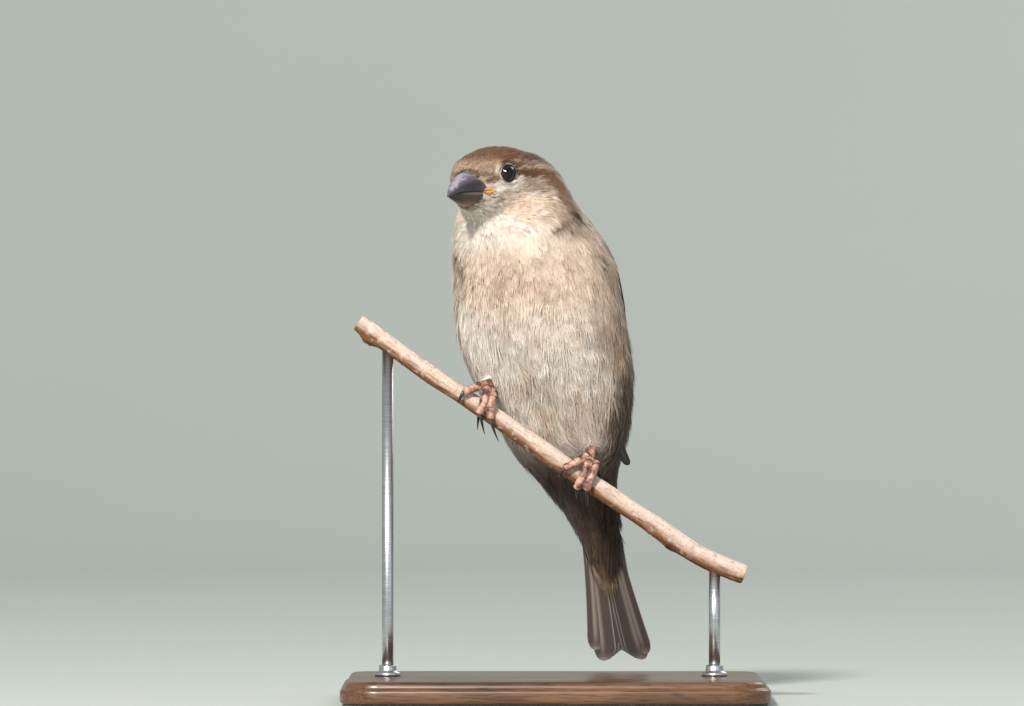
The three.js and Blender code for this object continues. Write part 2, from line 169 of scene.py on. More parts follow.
def grid_faces(rows, columns, closed=False):
    """Quads of a grid of points stored row by row; closed joins the last column to the first."""
    across = columns if closed else columns - 1
    row, column = np.meshgrid(np.arange(rows - 1), np.arange(across), indexing="ij")
    a = (row * columns + column).ravel()
    b = (row * columns + (column + 1) % columns).ravel()
    return np.stack([a, b, b + columns, a + columns], 1)


bend = np.linspace(0, math.pi / 2, PAPER_BEND_STEPS)
profile = [(PAPER_FRONT, 0.0)]
profile += [(PAPER_BEND_START + PAPER_BEND * math.sin(a), PAPER_BEND * (1 - math.cos(a))) for a in bend]
profile += [(PAPER_BEND_START + PAPER_BEND, PAPER_HEIGHT)]
sweep = [(x, y, z) for y, z in profile for x in (-PAPER_HALF_WIDTH, PAPER_HALF_WIDTH)]

# Matt paper: rough, with a faint unevenness so that the floor isn't a flat tone.
paper, tree, shader = make_material("matt_paper", Roughness=0.9, Specular_IOR_Level=0.2)
link_tones(tree, shader, grain_pattern(tree, 333.3, 3.0), [(0.0, PAPER_COLOUR), (1.0, PAPER_MOTTLE)])
backdrop = make_piece("studio_floor", sweep, [grid_faces(len(profile), 2)[:, ::-1]], paper)

# Lights: place in metres, width, power in watts, colour.
LIGHTS = {
    "key": ((-0.62, -1.9, 1.27), 0.26, 72.0, "fffbf6"),
    "fill": ((1.7, -1.7, 0.8), 1.6, 5.0, "e9f0ff"),
    "rim": ((1.1, 1.5, 1.3), 0.9, 9.0, "f4f6ff"),
}
AIM = Vector((0.0, 0.0, 0.09))
for name, (spot, width, power, colour) in LIGHTS.items():
    light = bpy.data.lights.new(name, "AREA")
    light.shape = "DISK"
    light.size = width
    light.energy = power
    light.color = linear(colour)[:3]
    lamp = bpy.data.objects.new(name, light)
    lamp.location = spot
    lamp.rotation_euler = (AIM - Vector(spot)).to_track_quat("-Z", "Y").to_euler()
    scene.collection.objects.link(lamp)

world = bpy.data.worlds.new("studio")
world.use_nodes = True
sky = world.node_tree.nodes["Background"]
sky.inputs["Color"].default_value = linear(WORLD_COLOUR)
sky.inputs["Strength"].default_value = WORLD_STRENGTH
scene.world = world
scene.view_settings.view_transform = "Standard"

# ---- base
# A walnut block with rounded corners and a moulded upper edge, oiled and satin varnished, with a
# thin felt sheet glued underneath.

BASE_WIDTH, BASE_DEPTH, BASE_HEIGHT = 112.0, 90.0, 6.5
BASE_CORNER = 10.0
FELT = 0.7
# The moulded edge from the felt up: distance in from the outline, height.
EDGE_PROFILE = [(0.5, FELT), (0.1, FELT + 0.3), (0.0, FELT + 0.8), (0.0, 3.6), (0.15, 4.1), (0.55, 4.45)]
EDGE_PROFILE += [(1.0, 4.6), (1.25, 4.75), (1.35, 5.1), (1.5, 5.6), (1.9, 6.1), (2.5, 6.4)]
EDGE_PROFILE += [(3.3, BASE_HEIGHT)]


def rounded_outline(width, depth, corner, inset, steps=10):
    """Points round a rectangle with round corners, moved in by inset, anticlockwise from above."""
    points = []
    radius = max(corner - inset, 0.5)
    for turn in range(4):
        side_x = (1, -1, -1, 1)[turn] * (width / 2 - inset - radius)
        side_y = (1, 1, -1, -1)[turn] * (depth / 2 - inset - radius)
        for k in range(steps + 1):
            angle = math.pi / 2 * (turn + k / steps)
            points.append((side_x + radius * math.cos(angle), side_y + radius * math.sin(angle)))
    return np.array(points)


def loft(rings):
    """Points, quads and end triangles of a closed loft through rings[ring, column, xyz], facing out."""
    rings = np.asarray(rings)
    count, columns = rings.shape[:2]
    points = np.concatenate([rings.reshape(-1, 3), [rings[0].mean(0)], [rings[-1].mean(0)]])
    around = np.arange(columns)
    after = np.roll(around, -1)
    last, hub = (count - 1) * columns, count * columns
    first_end = np.stack([np.full(columns, hub), after, around], 1)
    last_end = np.stack([np.full(columns, hub + 1), last + around, last + after], 1)
    quads, caps = grid_faces(count, columns, True), np.concatenate([first_end, last_end])
    corner = points[np.concatenate([quads[:, [0, 1, 2]], quads[:, [0, 2, 3]], caps])]
    volume = np.einsum("ij,ij->i", corner[:, 0], np.cross(corner[:, 1], corner[:, 2])).sum()
    return (points, quads, caps) if volume > 0 else (points, quads[:, ::-1], caps[:, ::-1])


def moulded_block(name, profile, material):
    """Closed block whose outline is drawn in by each step of a profile of insets and heights."""
    rings = []
    for inset, height in profile:
        outline = rounded_outline(BASE_WIDTH, BASE_DEPTH, BASE_CORNER, inset)
        rings.append(np.column_stack([outline, np.full(len(outline), height)]))
    points, *faces = loft(rings)
    return make_piece(name, points, faces, material)


# Oiled walnut: brown heartwood in long dark and light bands, fine pores, a soft satin varnish.
walnut, tree, shader = make_material("oiled_walnut", Roughness=0.38, Coat_Weight=0.35, Coat_Roughness=0.22)
bands = grain_pattern(tree, (69.44, 6.944, 6.944), 5.0, distortion=0.9)
pores = grain_pattern(tree, (6.667, 0.4167, 0.4167))
HEARTWOOD = [(0.3, linear("3a2415")), (0.5, linear("5e3d25")), (0.72, linear("7d5635"))]
heartwood = add_node(tree, "ShaderNodeValToRGB", links={"Fac": bands}, stops=HEARTWOOD)
link_tones(tree, shader, pores, [(0.36, "8a8480"), (0.5, "ffffff")], heartwood.outputs[0], 0.8)
link_relief(tree, shader, pores, 0.12, 0.2)

# Felt: dark green, quite rough, with a soft sheen of fibres.
felt, tree, shader = make_material("wool_felt", Roughness=0.95, Sheen_Weight=0.4)
link_tones(tree, shader, grain_pattern(tree, 0.5556), [(0.3, "1d2b23"), (0.7, "35483b")])

base = moulded_block("stand_block", EDGE_PROFILE, walnut)
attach(base, "root")
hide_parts("stand_base")
sheet_of_felt = moulded_block("stand_felt", [(1.0, 0.0), (0.8, FELT / 2), (0.9, FELT - 0.02)], felt)
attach(sheet_of_felt, "root")

# ---- perch
# A cut length of a young branch, about 5 mm thick: pale smooth bark, pinkish cream above and orange
# brown below, the darker underside partly painted shade, with short lengthwise cracks, small warts
# and three knots.

BRANCH_LINE = [
    (-51.8, 99.6), (-30.3, 84.3), (-14.5, 73.9), (-0.3, 63.9), (11.3, 56.1), (25.0, 47.0), (38.2, 38.2),
    (50.0, 33.2),
]
BRANCH_RADIUS = (2.25, 2.65)  # at the bird's right end and at its left end
BARK_WAVER = ((0.04, 17.0), (0.03, 41.0))
# Knots: share along the branch, degrees round it from the top to the viewer, radius, distance out.
KNOTS = ((0.04, 200.0, 1.9, 2.6), (0.52, 290.0, 1.5, 2.0), (0.83, 150.0, 1.6, 2.1))
PERCH_RINGS, PERCH_SIDES, END_RINGS = 420, 56, 9
THREAD_STRETCH = 0.13  # cracks are this much narrower than they are long


def centripetal(points, count):
    """Points evenly spread along a smooth curve through a few points."""
    points = np.array(points, float)
    ends = np.concatenate([[2 * points[0] - points[1]], points, [2 * points[-1] - points[-2]]])
    made = []
    for a, b, c, d in zip(ends, ends[1:], ends[2:], ends[3:]):
        knots = np.cumsum([0, *(math.sqrt(np.linalg.norm(q - p)) for p, q in ((a, b), (b, c), (c, d)))])
        for t in np.linspace(knots[1], knots[2], 40, endpoint=False):
            row = [a, b, c, d]
            for gap in (1, 2):
                shares = [(t - knots[k]) / (knots[k + gap] - knots[k]) for k in range(4 - gap)]
                row = [p + (q - p) * share for p, q, share in zip(row, row[1:], shares)]
            made.append(row[0] + (row[1] - row[0]) * (t - knots[1]) / (knots[2] - knots[1]))
    made = np.array([*made, points[-1]])
    run = np.concatenate([[0], np.cumsum(np.linalg.norm(np.diff(made, axis=0), axis=1))])
    even = np.linspace(0, run[-1], count)
    return np.stack([np.interp(even, run, made[:, k]) for k in range(points.shape[1])], 1)


def unit(vectors):
    """Vectors of length one."""
    return vectors / np.maximum(np.linalg.norm(vectors, axis=-1, keepdims=True), 1e-9)


branch_middle = np.insert(centripetal(BRANCH_LINE, 600), 1, 0.0, axis=1)
BRANCH_LENGTH = np.linalg.norm(np.diff(branch_middle, axis=0), axis=1).sum()
branch_along = unit(np.gradient(branch_middle, axis=0))
BRANCH_FRONT = np.array([0.0, -1.0, 0.0])
branch_over = -np.cross(branch_along, BRANCH_FRONT)


def along_branch(table, share):
    """A table of the branch's middle line, read at a share of its length."""
    place = np.clip(share, 0, 1) * (len(table) - 1)
    return np.stack([np.interp(place, np.arange(len(table)), table[:, k]) for k in range(3)], -1)


def branch_radius(share):
    """Radius of the branch without its waver."""
    return BRANCH_RADIUS[0] + (BRANCH_RADIUS[1] - BRANCH_RADIUS[0]) * np.clip(share, 0, 1)


def branch_surface(share, degrees, distance):
    """Point at a share of the branch, degrees round it from the top to the viewer, and a distance out."""
    share, degrees, distance = np.broadcast_arrays(np.asarray(share, float), degrees, distance)
    angle = np.radians(degrees)[..., None]
    way = along_branch(branch_over, share) * np.cos(angle) + BRANCH_FRONT * np.sin(angle)
    return along_branch(branch_middle, share) + distance[..., None] * way


def branch_share(point):
    """Share of the branch's length that lies nearest a point."""
    return np.argmin(np.linalg.norm(branch_middle - point, axis=1)) / (len(branch_middle) - 1)


def smooth_noise(points, scale, seed=0.0):
    """Smooth noise from about -1 to 1 at each point; scale is the size of its blotches in mm."""
    offset = Vector((seed, 1.7 * seed, -2.3 * seed))
    return np.array([noise.noise(Vector(p) + offset) for p in np.asarray(points, float) / scale])


def tint_points(piece, colours):
    """Stores a colour for each of a piece's points."""
    colours = np.clip(np.asarray(colours, float).reshape(-1, 3), 0, 1)
    layer = piece.data.color_attributes.new("tint", "FLOAT_COLOR", "POINT")
    opaque = np.column_stack([colours, np.ones(len(colours))])
    layer.data.foreach_set("color", opaque.astype(np.float32).ravel())


def blended(first, second, amount):
    """Colours mixed by an amount for each point."""
    amount = np.clip(amount, 0, 1)[..., None]
    return first * (1 - amount) + second * amount


def painted(base, *coats):
    """A base colour under coats of paint, each a hex colour and its strength at each point."""
    colour = rgb(base) if isinstance(base, str) else base
    for code, strength in coats:
        colour = blended(colour, rgb(code), strength)
    return colour


def ease(low, high, value):
    """0 at low, 1 at high and smooth between; low may be above high."""
    t = np.clip((value - low) / (high - low), 0, 1)
    return t * t * (3 - 2 * t)


ring_share = np.repeat(np.linspace(0, 1, PERCH_RINGS), PERCH_SIDES)
ring_round = np.tile(360 * np.arange(PERCH_SIDES) / PERCH_SIDES, PERCH_RINGS)
ring_run = ring_share * BRANCH_LENGTH
ring_over, ring_front = 2.4 * np.cos(np.radians(ring_round)), 2.4 * np.sin(np.radians(ring_round))
thread = np.stack([ring_run * THREAD_STRETCH, ring_over, ring_front], 1)
wart_place = np.stack([ring_run, ring_over, ring_front], 1)
crack = smooth_noise(thread, 0.55, 3.0)
fine_crack = smooth_noise(thread, 0.22, 9.0)
swell = smooth_noise(thread * (4.5, 1, 1), 5.0, 5.0)
wart = np.clip(smooth_noise(wart_place, 1.3, 21.0) - 0.42, 0, 1)
waver = 1 + sum(size * np.sin(turns * ring_share) for size, turns in BARK_WAVER)
ridge_depth = -0.16 * ease(0.15, 0.5, crack) - 0.05 * ease(0.1, 0.5, fine_crack)
radius = branch_radius(ring_share) * waver + 0.12 * swell + 0.55 * wart + ridge_depth
knot_tone = np.zeros(len(radius))
for share, degrees, size, out in KNOTS:
    apart = (ring_share - share) * BRANCH_LENGTH
    turned_by = np.radians((ring_round - degrees + 180) % 360 - 180) * 2.5
    away = np.hypot(apart / 1.25, turned_by)
    cup = 0.55 * np.exp(-((away / 0.45) ** 2))
    bulge = (out + size * 0.55 - 2.5) * np.exp(-((away / (0.95 * size)) ** 2.4))
    radius += bulge - cup + 0.12 * np.sin(away * 7.5) * np.exp(-((away / 2.2) ** 2))
    knot_tone = np.maximum(knot_tone, ease(2.1, 0.6, away))
# The two cut ends are rounded over a little where the saw lifted the bark.
end_distance = np.minimum(ring_share, 1 - ring_share) * BRANCH_LENGTH
radius *= 1 - 0.1 * np.exp(-end_distance / 0.35)
bark_rings = branch_surface(ring_share, ring_round, radius).reshape(PERCH_RINGS, PERCH_SIDES, 3)

# Each cut end is a flat disc of pale wood: rings from its middle out to the bark.
disc_in = np.arange(END_RINGS - 1, 0, -1) / END_RINGS
discs = []
for rim in (bark_rings[0], bark_rings[-1]):
    middle = rim.mean(0)
    discs.append([middle + (rim - middle) * (1 - share) for share in disc_in])
points, *faces = loft([*discs[0], *bark_rings, *discs[1][::-1]])

# Bark tones: cream and pink above, orange brown below, dark in the cracks and at the knots; the
# darker underside and its darker cracks are partly painted shade.
above = np.cos(np.radians(ring_round - 25))
patch = smooth_noise(thread, 1.5, 31.0)
bark = painted(
    "7c5134",
    ("c6a998", ease(-0.35, 0.55, above + 0.4 * patch)),
    ("dcc9bc", ease(0.2, 0.9, above + 0.5 * crack) * 0.8),
    ("a98a84", ease(0.18, 0.5, smooth_noise(wart_place, 3.0, 12.0)) * 0.45),
    # painted shade: the cracks darker on the underside
    ("54331f", ease(0.15, 0.45, crack) * ease(1.3, -0.5, above) * 0.9),
    ("94694c", ease(0.2, 0.5, fine_crack) * 0.4),
    ("f0e2d2", ease(0.0, 0.12, wart) * 0.22),
    ("5a3024", knot_tone * 0.85),
)
cut_wood = []
for disc_share in (np.repeat(disc_in, PERCH_SIDES), np.repeat(disc_in[::-1], PERCH_SIDES), np.ones(2)):
    year_ring = 0.5 + 0.5 * np.sin(disc_share * 26)
    cut_wood.append(painted("d8bf97", ("a9835a", year_ring), ("6f4d35", ease(0.93, 1.0, disc_share))))

# Young bark: dry and matt, with fine lengthwise threads.
bark_look, tree, shader = make_material("young_bark", Roughness=0.72, Specular_IOR_Level=0.35)
speck = grain_pattern(tree, 0.6667, 4.0, 0.7)
speck_tones = [(0.3, "c4b8b0"), (0.5, "ffffff"), (0.75, "fff8f0")]
link_tones(tree, shader, speck, speck_tones, "tint", 0.75)
link_relief(tree, shader, speck, 0.45, 0.25)

perch = make_piece("perch_bark", points, faces, bark_look)
tint_points(perch, np.concatenate([cut_wood[0], bark, cut_wood[1], cut_wood[2]]))
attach(perch, "root")
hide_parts("perch_branch")

# ---- rods
# Two bright steel rods, let into the base through turned collars and into the branch's underside.
# They are drawn stock, finely brushed round.

ROD_RADIUS = 1.5
ROD_AT = {"left": -44.0, "right": 42.0}
COLLAR_PROFILE = [
    (3.4, 6.5), (3.4, 7.2), (3.15, 7.6), (2.5, 7.85), (2.3, 8.3), (2.25, 9.2), (2.05, 9.5), (1.52, 9.6)
]
ROD_SIDES = 40

# Brushed stainless steel: mid grey metal, soft reflections drawn out round the rod by the brushing.
steel, tree, shader = make_material("brushed_steel", Metallic=1.0, Roughness=0.3, Anisotropic=0.4)
brushing = grain_pattern(tree, (3.333, 3.333, 0.1667), 3.0)
link_tones(tree, shader, brushing, [(0.3, "a9abad"), (0.7, "c9cbcc")])
steel_rough = add_node(tree, "ShaderNodeMapRange", values={3: 0.24, 4: 0.4}, links={0: brushing})
tree.links.new(steel_rough.outputs[0], shader.inputs["Roughness"])


def turned(name, profile, x, material):
    """Closed solid turned round an upright line at x, from radius and height of each ring."""
    angle = 2 * math.pi * np.arange(ROD_SIDES) / ROD_SIDES
    over_x, over_y = np.cos(angle), np.sin(angle)
    points, *faces = loft(
        [np.column_stack([x + r * over_x, r * over_y, np.full(ROD_SIDES, z)]) for r, z in profile]
    )
    return make_piece(name, points, faces, material)


for side, x in ROD_AT.items():
    top = np.interp(x, branch_middle[:, 0], branch_middle[:, 2]) - 1.0
    rings = [(ROD_RADIUS, BASE_HEIGHT + 0.05), (ROD_RADIUS, 20.0), (ROD_RADIUS, top)]
    rod = turned(f"stand_steel_{side}", rings, x, steel)
    collar = turned(f"stand_collar_{side}", COLLAR_PROFILE, x, steel)
    for piece in (rod, collar):
        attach(piece, "root")
    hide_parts(f"stand_rod_{side}")

# ---- skin
# One unbroken skin over trunk, neck, head and legs, down to the toes. It lies inside the packed
# solids by the depth of the coat, and is bare only on the shanks, the toes and round the eyes.

UP = np.array([0.0, 0.0, 1.0])
BODY_TURN, HEAD_TURN = 20.0, 32.0  # degrees from -Y towards -X
# Trunk and neck over the feathers: height, middle x, middle y, half width, depth to breast, to back.
BODY = [
    (144.2, -9.6, -6.0, 2.0, 2.0, 2.0), (142.6, -9.5, -6.0, 6.5, 6.0, 6.0),
    (139.0, -9.6, -6.0, 11.2, 10.0, 10.0), (134.5, -10.0, -6.0, 14.2, 13.0, 12.6),
    (129.0, -9.6, -5.2, 17.0, 15.2, 15.0), (123.0, -7.7, -3.8, 20.2, 17.4, 16.8),
    (115.0, -5.6, -1.4, 22.2, 19.6, 18.2), (106.0, -4.4, 1.3, 22.9, 21.0, 18.8),
    (96.0, -3.3, 5.0, 23.2, 21.0, 18.2), (86.0, -1.0, 9.4, 22.4, 17.8, 16.2),
    (76.0, 1.5, 13.0, 19.4, 13.6, 14.0), (66.0, 3.3, 15.8, 15.6, 10.2, 12.2),
    (57.0, 6.4, 18.6, 10.4, 7.6, 9.4), (48.0, 10.4, 21.6, 7.4, 5.2, 6.0),
    (39.5, 13.0, 24.8, 5.8, 2.7, 2.8), (35.5, 14.0, 26.5, 3.2, 1.3, 1.3),
]
# Head over the feathers: distance back from the bill's tip, half width, widest line, crown, throat.
BILL_TIP = np.array([-28.0, -30.5, 132.8])
HEAD = [
    (8.8, 3.8, 1.8, 5.3, -2.8), (10.8, 6.0, 3.2, 7.4, -4.0), (13.8, 8.4, 4.6, 9.6, -5.4),
    (17.0, 10.0, 4.9, 11.5, -6.6), (20.5, 11.3, 4.7, 12.9, -7.6), (24.0, 12.0, 4.2, 13.6, -8.4),
    (28.0, 12.0, 3.8, 13.1, -8.6), (32.0, 10.2, 3.4, 10.6, -7.6), (35.0, 6.6, 3.0, 7.0, -4.0),
    (36.4, 2.4, 3.0, 4.4, 0.8),
]
HEAD_SQUARENESS = 0.92
# Depth of the coat: over the trunk by height, over the head by distance back from the bill's tip.
BODY_COAT = ((36, 45, 57, 75, 115, 130), (0.6, 1.1, 1.7, 2.3, 2.4, 1.7))
HEAD_COAT = ((8.8, 12, 18, 26, 36), (0.35, 0.6, 1.0, 1.4, 1.6))
SKIN_VOXEL = 0.42
# Eyeball: middle as back, out, up, and radius; and how far the skin swells out round it.
EYE_MIDDLE, EYE_RADIUS = (16.5, 6.7, 5.75), 3.3
ORBIT_RADIUS = 3.4
EYE_SINK = {1: 0.0, -1: 0.85}  # how much deeper the left and the right eye sit


def heading(turn):
    """Forward and left of something turned this many degrees from -Y towards -X."""
    angle = math.radians(turn)
    return np.array([-math.sin(angle), -math.cos(angle), 0]), np.array([math.cos(angle), -math.sin(angle), 0])


TRUNK_FORWARD, TRUNK_LEFT = heading(BODY_TURN)
HEAD_FORWARD, HEAD_LEFT = heading(HEAD_TURN)


def dense(table, count=500):
    """Many rows on the smooth curve that passes through a table's rows."""
    table = np.array(table, float)
    place = np.linspace(0, len(table) - 1, count)
    i = np.minimum(place.astype(int), len(table) - 2)
    w = (place - i)[:, None]
    a, b, c, d = (table[np.clip(i + k, 0, len(table) - 1)] for k in (-1, 0, 1, 2))
    return b + 0.5 * w * (c - a + w * (2 * a - 5 * b + 4 * c - d + w * (3 * (b - c) + d - a)))


def lookup(curve, value):
    """The other columns of a dense table where its first column reaches a value."""
    order = np.argsort(curve[:, 0])
    return [np.interp(value, curve[order, 0], curve[order, k]) for k in range(1, curve.shape[1])]


BODY_CURVE, HEAD_CURVE = dense(BODY), dense(HEAD)


def body_surface(height, angle, outside=0.0):
    """Point of the trunk's outline at a height and an angle from the breastbone towards the left."""
    height, angle, outside = np.broadcast_arrays(np.asarray(height, float), angle, outside)
    x, y, side, front, back = lookup(BODY_CURVE, height)
    along = np.where(np.cos(angle) > 0, front, back) + outside
    middle = np.stack([x, y, height], -1)
    ahead = (along * np.cos(angle))[..., None] * TRUNK_FORWARD
    aside = ((side + outside) * np.sin(angle))[..., None] * TRUNK_LEFT
    return middle + ahead + aside


def head_point(back, out, up):
    """Point of the head's own space: back from the bill's tip, out to the left, up."""
    back, out, up = np.broadcast_arrays(np.asarray(back, float), out, up)
    return BILL_TIP - back[..., None] * HEAD_FORWARD + out[..., None] * HEAD_LEFT + up[..., None] * UP


def on_side(place, side):
    """Point of the head from back, out and up, on its left side (1) or its right side (-1)."""
    return head_point(place[0], side * place[1], place[2])


def eye_middle(side):
    """Middle of the left (1) or right (-1) eyeball."""
    back, out, up = EYE_MIDDLE
    sunk = EYE_SINK[side]
    return on_side((back + 0.6 * sunk, out - sunk, up), side)


def head_surface(back, angle, outside=0.0):
    """Point of the head's outline at a distance back and an angle from its left side upwards."""
    back, angle, outside = np.broadcast_arrays(np.asarray(back, float), angle, outside)
    side, belt, crown, throat = lookup(HEAD_CURVE, back)
    full_cos = np.sign(np.cos(angle)) * np.abs(np.cos(angle)) ** HEAD_SQUARENESS
    full_sin = np.sign(np.sin(angle)) * np.abs(np.sin(angle)) ** HEAD_SQUARENESS
    rise = np.where(np.sin(angle) > 0, crown - belt, belt - throat)
    return head_point(back, (side + outside) * full_cos, belt + (rise + outside) * full_sin)


def head_place(points):
    """Distance back from the bill's tip, out to the left, and up, of points."""
    apart = points - BILL_TIP
    return -apart @ HEAD_FORWARD, apart @ HEAD_LEFT, apart[..., 2]


def body_place(points):
    """Height and angle from the breastbone, in degrees towards the left, of points."""
    height = points[..., 2]
    x, y, side, front, back = lookup(BODY_CURVE, height)
    apart = points - np.stack([x, y, height], -1)
    ahead = apart @ TRUNK_FORWARD
    ahead = ahead / np.where(ahead > 0, front, back)
    return height, np.degrees(np.arctan2(apart @ TRUNK_LEFT / side, ahead))


def tube(line, radii, sides=16, flat=1.0, up=None):
    """Rings of a tube along a line; flat narrows it across the direction up."""
    line = np.asarray(line, float)
    along = unit(np.gradient(line, axis=0))
    guide = np.broadcast_to(up if up is not None else UP, line.shape)
    side = unit(np.cross(along, guide))
    over = np.cross(side, along)
    angle = 2 * math.pi * np.arange(sides) / sides
    radii = np.broadcast_to(radii, len(line))[:, None, None]
    cos, sin = np.cos(angle)[None, :, None], np.sin(angle)[None, :, None]
    return line[:, None] + radii * (side[:, None] * cos + over[:, None] * sin * flat)


# Legs: where the shank meets the toes, where it enters the belly, and each toe: degrees round the
# branch at its start and end, slide along the branch at both, and the slide of its claw.
HIND_TOE = (-20, -112, 0.2, 1.6, 2.6)
RIGHT_TOES = {"inner": (5, 74, -1.2, -4.8, -4.4), "middle": (15, 112, 0.0, 1.9, 4.6)}
RIGHT_TOES.update({"outer": (15, 108, 1.4, 4.9, 7.6), "hind": HIND_TOE})
LEFT_TOES = {"inner": (5, 98, -1.2, -5.0, -5.0), "middle": (15, 134, -0.6, 0.6, 1.6)}
LEFT_TOES.update({"outer": (15, 120, 1.2, 3.0, 4.4), "hind": HIND_TOE})
LEGS = {
    "right": {"at": (-17.6, -0.6, 82.6), "hock": (-13.5, 7.0, 89.0), "toes": RIGHT_TOES},
    "left": {"at": (9.3, 0.2, 62.8), "hock": (10.2, 9.0, 71.0), "toes": LEFT_TOES},
}
TOE_RADIUS = 1.12
TOE_CLEAR = 1.06
KNUCKLE_ARCH = 2.2
GAP = 0.05
# Joints of a toe: share of its length, how far the joint swells.
TOE_JOINTS = ((0.3, 0.13), (0.62, 0.12), (0.93, 0.1))


def toe_knots(leg, toe):
    """Points along the middle of a toe that curls round the branch."""
    start_angle, end_angle, start, end, _ = toe
    first = np.array(leg["at"])
    share = branch_share(first)
    t = np.arange(1, 8) / 7
    u = share + (start + (end - start) * t) / BRANCH_LENGTH
    distance = branch_radius(u) * TOE_CLEAR + TOE_RADIUS * 1.05 + GAP + KNUCKLE_ARCH * (1 - t) ** 2
    return np.array([first, *branch_surface(u, start_angle + (end_angle - start_angle) * t, distance)])


def toe_line(leg, toe):
    """Smooth middle line of a toe."""
    return centripetal(toe_knots(leg, toe), 64)


def toe_radii(count):
    """Radius along a toe, swollen at its joints and narrower towards the claw."""
    t = np.linspace(0, 1, count)
    swell = sum(size * np.exp(-(((t - place) / 0.07) ** 2)) for place, size in TOE_JOINTS)
    return TOE_RADIUS * (0.98 - 0.22 * t + swell)


heights = np.linspace(143.6, 40.5, 130)[:, None]
backs = np.linspace(9.0, 36.2, 60)[:, None]
around = np.linspace(0, 2 * math.pi, 96, endpoint=False)[None]
polar = np.linspace(0.05, math.pi - 0.05, 24)[:, None]
level_x, level_y = np.sin(polar) * np.cos(around), np.sin(polar) * np.sin(around)
sphere = np.stack([level_x, level_y, np.cos(polar) + 0 * around], -1)
parts = [
    loft(body_surface(heights, around, -np.interp(heights, *BODY_COAT))),
    loft(head_surface(backs, around, -np.interp(backs, *HEAD_COAT))),
]
parts += [loft(eye_middle(side) + ORBIT_RADIUS * sphere) for side in (1, -1)]
FEATHERED = len(parts)  # the lofts so far carry feathers
for leg in LEGS.values():
    at, hock = np.array(leg["at"]), np.array(leg["hock"])
    shank = at + (hock - at) * np.linspace(-0.06, 1.25, 30)[:, None]
    parts.append(loft(tube(shank, 1.2 - 0.2 * np.linspace(0, 1, 30) ** 0.6, 16, up=BRANCH_FRONT)))
    for toe in leg["toes"].values():
        line = toe_line(leg, toe)
        parts.append(loft(tube(line, toe_radii(len(line)), 16, up=branch_along[300])))


def joined(parts):
    """Several lofts as one list of points, of quads and of end triangles."""
    starts = np.cumsum([0, *(len(points) for points, _, _ in parts)])
    quads, caps = (np.concatenate([part[k] + start for part, start in zip(parts, starts)]) for k in (1, 2))
    return np.concatenate([points for points, _, _ in parts]), quads, caps


# Bare skin and the base of the coat: matt, faintly waxy on the toes, with fine creases.
SKIN_CREASE = 0.3846
skin_look, tree, shader = make_material("bird_skin", Roughness=0.55, Specular_IOR_Level=0.4)
place = add_node(tree, "ShaderNodeTexCoord")
creases = add_node(
    tree,
    "ShaderNodeTexVoronoi",
    {"feature": "DISTANCE_TO_EDGE"},
    {"Scale": 1 / (SKIN_CREASE * MM)},
    {"Vector": place.outputs["Object"]},
).outputs["Distance"]
link_tones(tree, shader, creases, [(0.0, "c9bdb6"), (0.2, "ffffff")], "tint", 0.5)
link_relief(tree, shader, creases, 0.3, 0.1)


def evaluated_mesh(piece):
    """Plain mesh of a piece with its modifiers applied."""
    graph = bpy.context.evaluated_depsgraph_get()
    return bpy.data.meshes.new_from_object(piece.evaluated_get(graph))


def points_of(mesh):
    """A mesh's points in millimetres."""
    flat = np.empty(len(mesh.vertices) * 3, np.float32)
    mesh.vertices.foreach_get("co", flat)
    return flat.reshape(-1, 3).astype(float) / MM


def edges_of(mesh):
    """A mesh's edges as pairs of point numbers."""
    flat = np.empty(len(mesh.edges) * 2, np.int32)
    mesh.edges.foreach_get("vertices", flat)
    return flat.reshape(-1, 2)


def relaxed(points, edges, weight, rounds, pulls):
    """Points eased towards their neighbours; a second, negative pull keeps them from shrinking."""
    count = np.bincount(edges.ravel(), minlength=len(points))[:, None]
    for step in range(rounds):
        total = np.zeros_like(points)
        np.add.at(total, edges[:, 0], points[edges[:, 1]])
        np.add.at(total, edges[:, 1], points[edges[:, 0]])
        points = points + pulls[step % len(pulls)] * weight[:, None] * (total / count - points)
    return points


rough, quads, caps = joined(parts)
skin = make_piece("skin", rough, [quads, caps], skin_look)
remesh = skin.modifiers.new("one_surface", "REMESH")
remesh.mode = "VOXEL"
remesh.voxel_size = SKIN_VOXEL * MM
skin.data = evaluated_mesh(skin)
skin.modifiers.clear()

# How near a point is to the feathered lofts: the toes and shanks aren't.
coat_points, coat_quads, coat_caps = joined(parts[:FEATHERED])
coat_tree = BVHTree.FromPolygons(coat_points.tolist(), coat_quads.tolist() + coat_caps.tolist())


def near_plumage(points):
    """Distance from each point to the surface that carries feathers."""
    return np.array([coat_tree.find_nearest(p)[3] for p in points.tolist()])


skin_points = points_of(skin.data)
covered = ease(0.9, 0.4, near_plumage(skin_points))
skin_edges = edges_of(skin.data)
skin_points = relaxed(skin_points, skin_edges, covered, 40, (0.5,))
skin_points = relaxed(skin_points, skin_edges, 1 - covered, 6, (0.5, -0.52))
skin.data.vertices.foreach_set("co", (skin_points * MM).astype(np.float32).ravel())
skin.data.update()
skin.data.polygons.foreach_set("use_smooth", np.ones(len(skin.data.polygons), bool))
